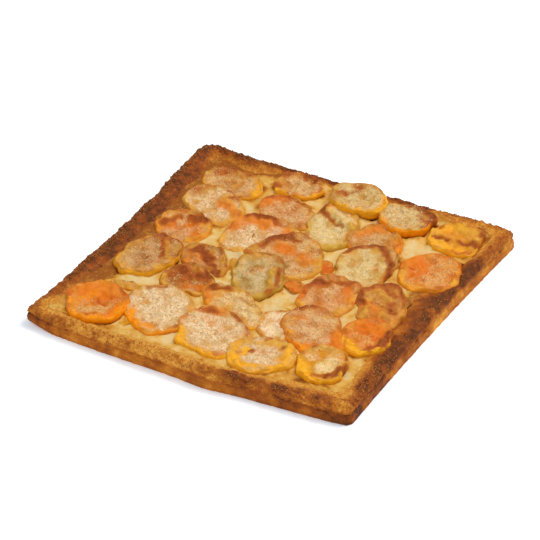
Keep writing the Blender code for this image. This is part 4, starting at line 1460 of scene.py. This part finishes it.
@dataclass
class Scatter:
    """Many small solid bits of one kind, joined into one piece that lies on other pieces.

    smallest, largest: the bits' sizes. weight: the painted number that is high where they lie densely.
    place_seed, shape_seed: for the random choices.
    """

    name: str
    slot: str
    count: int
    smallest: float
    largest: float
    weight: str
    finish: GrainFinish
    place_seed: int
    shape_seed: int
    jitter: float = 0.3
    largest_face: float = 1e-4

    def start(self) -> bmesh.types.BMesh:
        """One bit, of unit size.

        Returns:
            The bmesh of the bit.
        """
        bm = bmesh.new()
        bmesh.ops.create_cube(bm, size=1.0)
        return bm

    def keep(self, centers: np.ndarray) -> np.ndarray:
        """The share of the bits that stay at each place."""
        return np.ones(len(centers))

    def spots(self, pieces: Sequence[bpy.types.Object]) -> Iterator[tuple[Vector, Vector]]:
        """Random places on some pieces, and the outward direction at each.

        Args:
            pieces: the objects to lay bits on.

        Returns:
            A place and a direction for each bit.
        """
        chance = np.random.default_rng(self.place_seed)
        centers, normals, weights = map(np.concatenate, zip(*(self.faces(piece.data) for piece in pieces)))
        weights = weights * self.keep(centers)
        picked = chance.choice(len(weights), size=self.count, p=weights / weights.sum())
        for index, shift in zip(picked, chance.normal(0, self.jitter * MM, size=(self.count, 3))):
            outward = Vector(normals[index])
            yield Vector(centers[index]) + Vector(shift) - outward * Vector(shift).dot(outward), outward

    def faces(self, mesh: bpy.types.Mesh) -> tuple[np.ndarray, np.ndarray, np.ndarray]:
        """The middles, the normals and the weights of a mesh's faces: none weigh on its underside.

        Blender makes a sphere's faces in another order each run, so they are put in the order of their corners.

        Args:
            mesh: the mesh to lay bits on.

        Returns:
            The middles, the normals and the weights.
        """
        corners = read(mesh.loops, "vertex_index", kind=np.int32)
        first = read(mesh.polygons, "loop_start", kind=np.int32)
        lowest = np.minimum.reduceat(corners, first)
        order = np.lexsort((np.add.reduceat(corners, first), lowest))
        painted = read(mesh.attributes[self.weight].data, "value")[lowest[order]]
        centers, normals = (read(mesh.polygons, name, 3)[order] for name in ("center", "normal"))
        area = read(mesh.polygons, "area")[order]
        weights = area * np.clip(painted, 0, 1) * np.clip(normals[:, 2], 0, 1) * (area < self.largest_face)
        return centers, normals, weights

    def build(self, pieces: Sequence[bpy.types.Object]) -> bpy.types.Object:
        """Lay the bits on some pieces and join them.

        Args:
            pieces: the objects to lay bits on.

        Returns:
            The dressed object.
        """
        bm = self.start()
        unit = [vert.co.copy() for vert in bm.verts]
        while len(bm.verts) < len(unit) * self.count:
            bmesh.ops.duplicate(bm, geom=bm.verts[:] + bm.edges[:] + bm.faces[:])
        bmesh.ops.delete(bm, geom=bm.verts[:][len(unit) * self.count :], context="VERTS")
        verts = bm.verts[:]
        chance = random.Random(self.shape_seed)
        for index, (place, outward) in enumerate(self.spots(pieces)):
            size = MM * (self.smallest + (self.largest - self.smallest) * chance.random() ** 2)
            spin = Matrix.Rotation(chance.uniform(0, 2 * math.pi), 3, "Z")
            turned = spin @ Matrix.Rotation(chance.uniform(-0.6, 0.6), 3, "X")
            upright = outward.to_track_quat("Z", "Y").to_matrix()
            stretch = Vector((chance.uniform(0.7, 1.2), chance.uniform(0.7, 1.2), chance.uniform(0.5, 0.9)))
            for corner, vert in zip(unit, verts[index * len(unit) : (index + 1) * len(unit)]):
                vert.co = place + upright @ (turned @ (corner * stretch)) * size + outward * size * 0.22
        made = named_object(self.name, bm, self.finish.material(), False)
        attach(made, "root")
        return made


class CrustCrumbs(Scatter):
    """Rounded crumbs of crust, with few of them on the right rim."""

    def start(self) -> bmesh.types.BMesh:
        """One crumb, of unit size.

        Returns:
            The bmesh of the bit.
        """
        bm = bmesh.new()
        bmesh.ops.create_icosphere(bm, subdivisions=1, radius=0.5)
        return bm

    def keep(self, centers: np.ndarray) -> np.ndarray:
        """The share of the crumbs that stay at each place."""
        return np.where((centers[:, 0] > 0.1) & (centers[:, 1] > -0.07), 0.3, 1.0)


# ---- the studio


@dataclass
class Studio:
    """A white table, soft light from above and behind, and the camera."""

    camera_at: tuple[float, float, float] = (0.9534, -1.7374, 1.2843)
    look_at: tuple[float, float, float] = (-0.01038, 0.01995, 0.0)
    lens: float = 225.78
    sensor: float = 36.0
    table_reach: float = 6.0
    table_gap: float = 0.0003
    sky: float = 0.5
    finish: FloorFinish = FloorFinish()

    def build(self) -> None:
        """Make the floor, the lights and the camera."""
        bm = bmesh.new()
        bmesh.ops.create_grid(bm, x_segments=2, y_segments=2, size=self.table_reach)
        bmesh.ops.translate(bm, verts=bm.verts[:], vec=(0, 0, -self.table_gap))
        named_object("table", bm, self.finish.material(), True)
        self.light("key", (0.7, 0.85, 1.8), 1.2, 33.0, (1.0, 0.98, 0.945))
        self.light("fill", (-0.5, -1.7, 1.5), 1.8, 17.0, (1.0, 0.97, 0.92))
        world = bpy.data.worlds.new("soft_white")
        world.use_nodes = True
        background = world.node_tree.nodes["Background"]
        background.inputs["Color"].default_value = (*self.finish.sky, 1.0)
        background.inputs["Strength"].default_value = self.sky
        bpy.context.scene.world = world
        lens = bpy.data.cameras.new("camera")
        lens.lens = self.lens
        lens.sensor_width = self.sensor
        lens.clip_end = 50.0
        bpy.context.scene.camera = self.aimed("camera", lens, self.camera_at, self.look_at)
        bpy.context.scene.view_settings.view_transform = "Standard"

    def aimed(
        self, name: str, data: bpy.types.ID, at: Sequence[float], to: Sequence[float]
    ) -> bpy.types.Object:
        """Put a light or a camera in the scene and point it at a place.

        Args:
            name: the object's name.
            data: the light or the camera.
            at: where it stands, in metres.
            to: where it points.

        Returns:
            The new object.
        """
        made = bpy.data.objects.new(name, data)
        made.location = at
        made.rotation_euler = (Vector(to) - Vector(at)).to_track_quat("-Z", "Y").to_euler()
        bpy.context.scene.collection.objects.link(made)
        return made

    def light(self, name: str, at: Sequence[float], size: float, power: float, color: Color) -> None:
        """A square soft light that points at the tart.

        Args:
            name: what the light is called.
            at: where it stands.
            size: the length of its side.
            power: its strength in watts.
            color: its colour.
        """
        lamp = bpy.data.lights.new(name, "AREA")
        lamp.size = size
        lamp.energy = power
        lamp.color = color
        self.aimed(name, lamp, at, (0.0, 0.0, 0.0))


def main() -> None:
    """Build the tart from the case up, then the studio."""
    logging.basicConfig(level=logging.INFO, format="%(name)s: %(message)s")
    pastry = PastryCase().build()
    custard = Custard().build()
    halves = [half.build() for half in HALVES]
    sugar = GrainFinish("coarse_sugar", (0.84, 0.60, 0.31), (0.68, 0.34, 0.09), 0.4)
    crumb = GrainFinish("crust_crumb", (0.56, 0.22, 0.05), (0.32, 0.088, 0.012), 0.85)
    grains = Scatter("sugar_grains", "baked_apricot", 9000, 0.35, 0.7, "dust", sugar, 11, 5)
    crumbs = CrustCrumbs("crust_crumbs", "baked_pastry", 5000, 0.4, 1.1, "crumbly", crumb, 12, 6)
    for piece in (pastry, custard, *halves, grains.build(halves), crumbs.build([pastry])):
        log.info("%s: %d faces", piece.name, len(piece.data.polygons))
    Studio().build()
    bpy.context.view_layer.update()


if __name__ == "__main__":
    main()
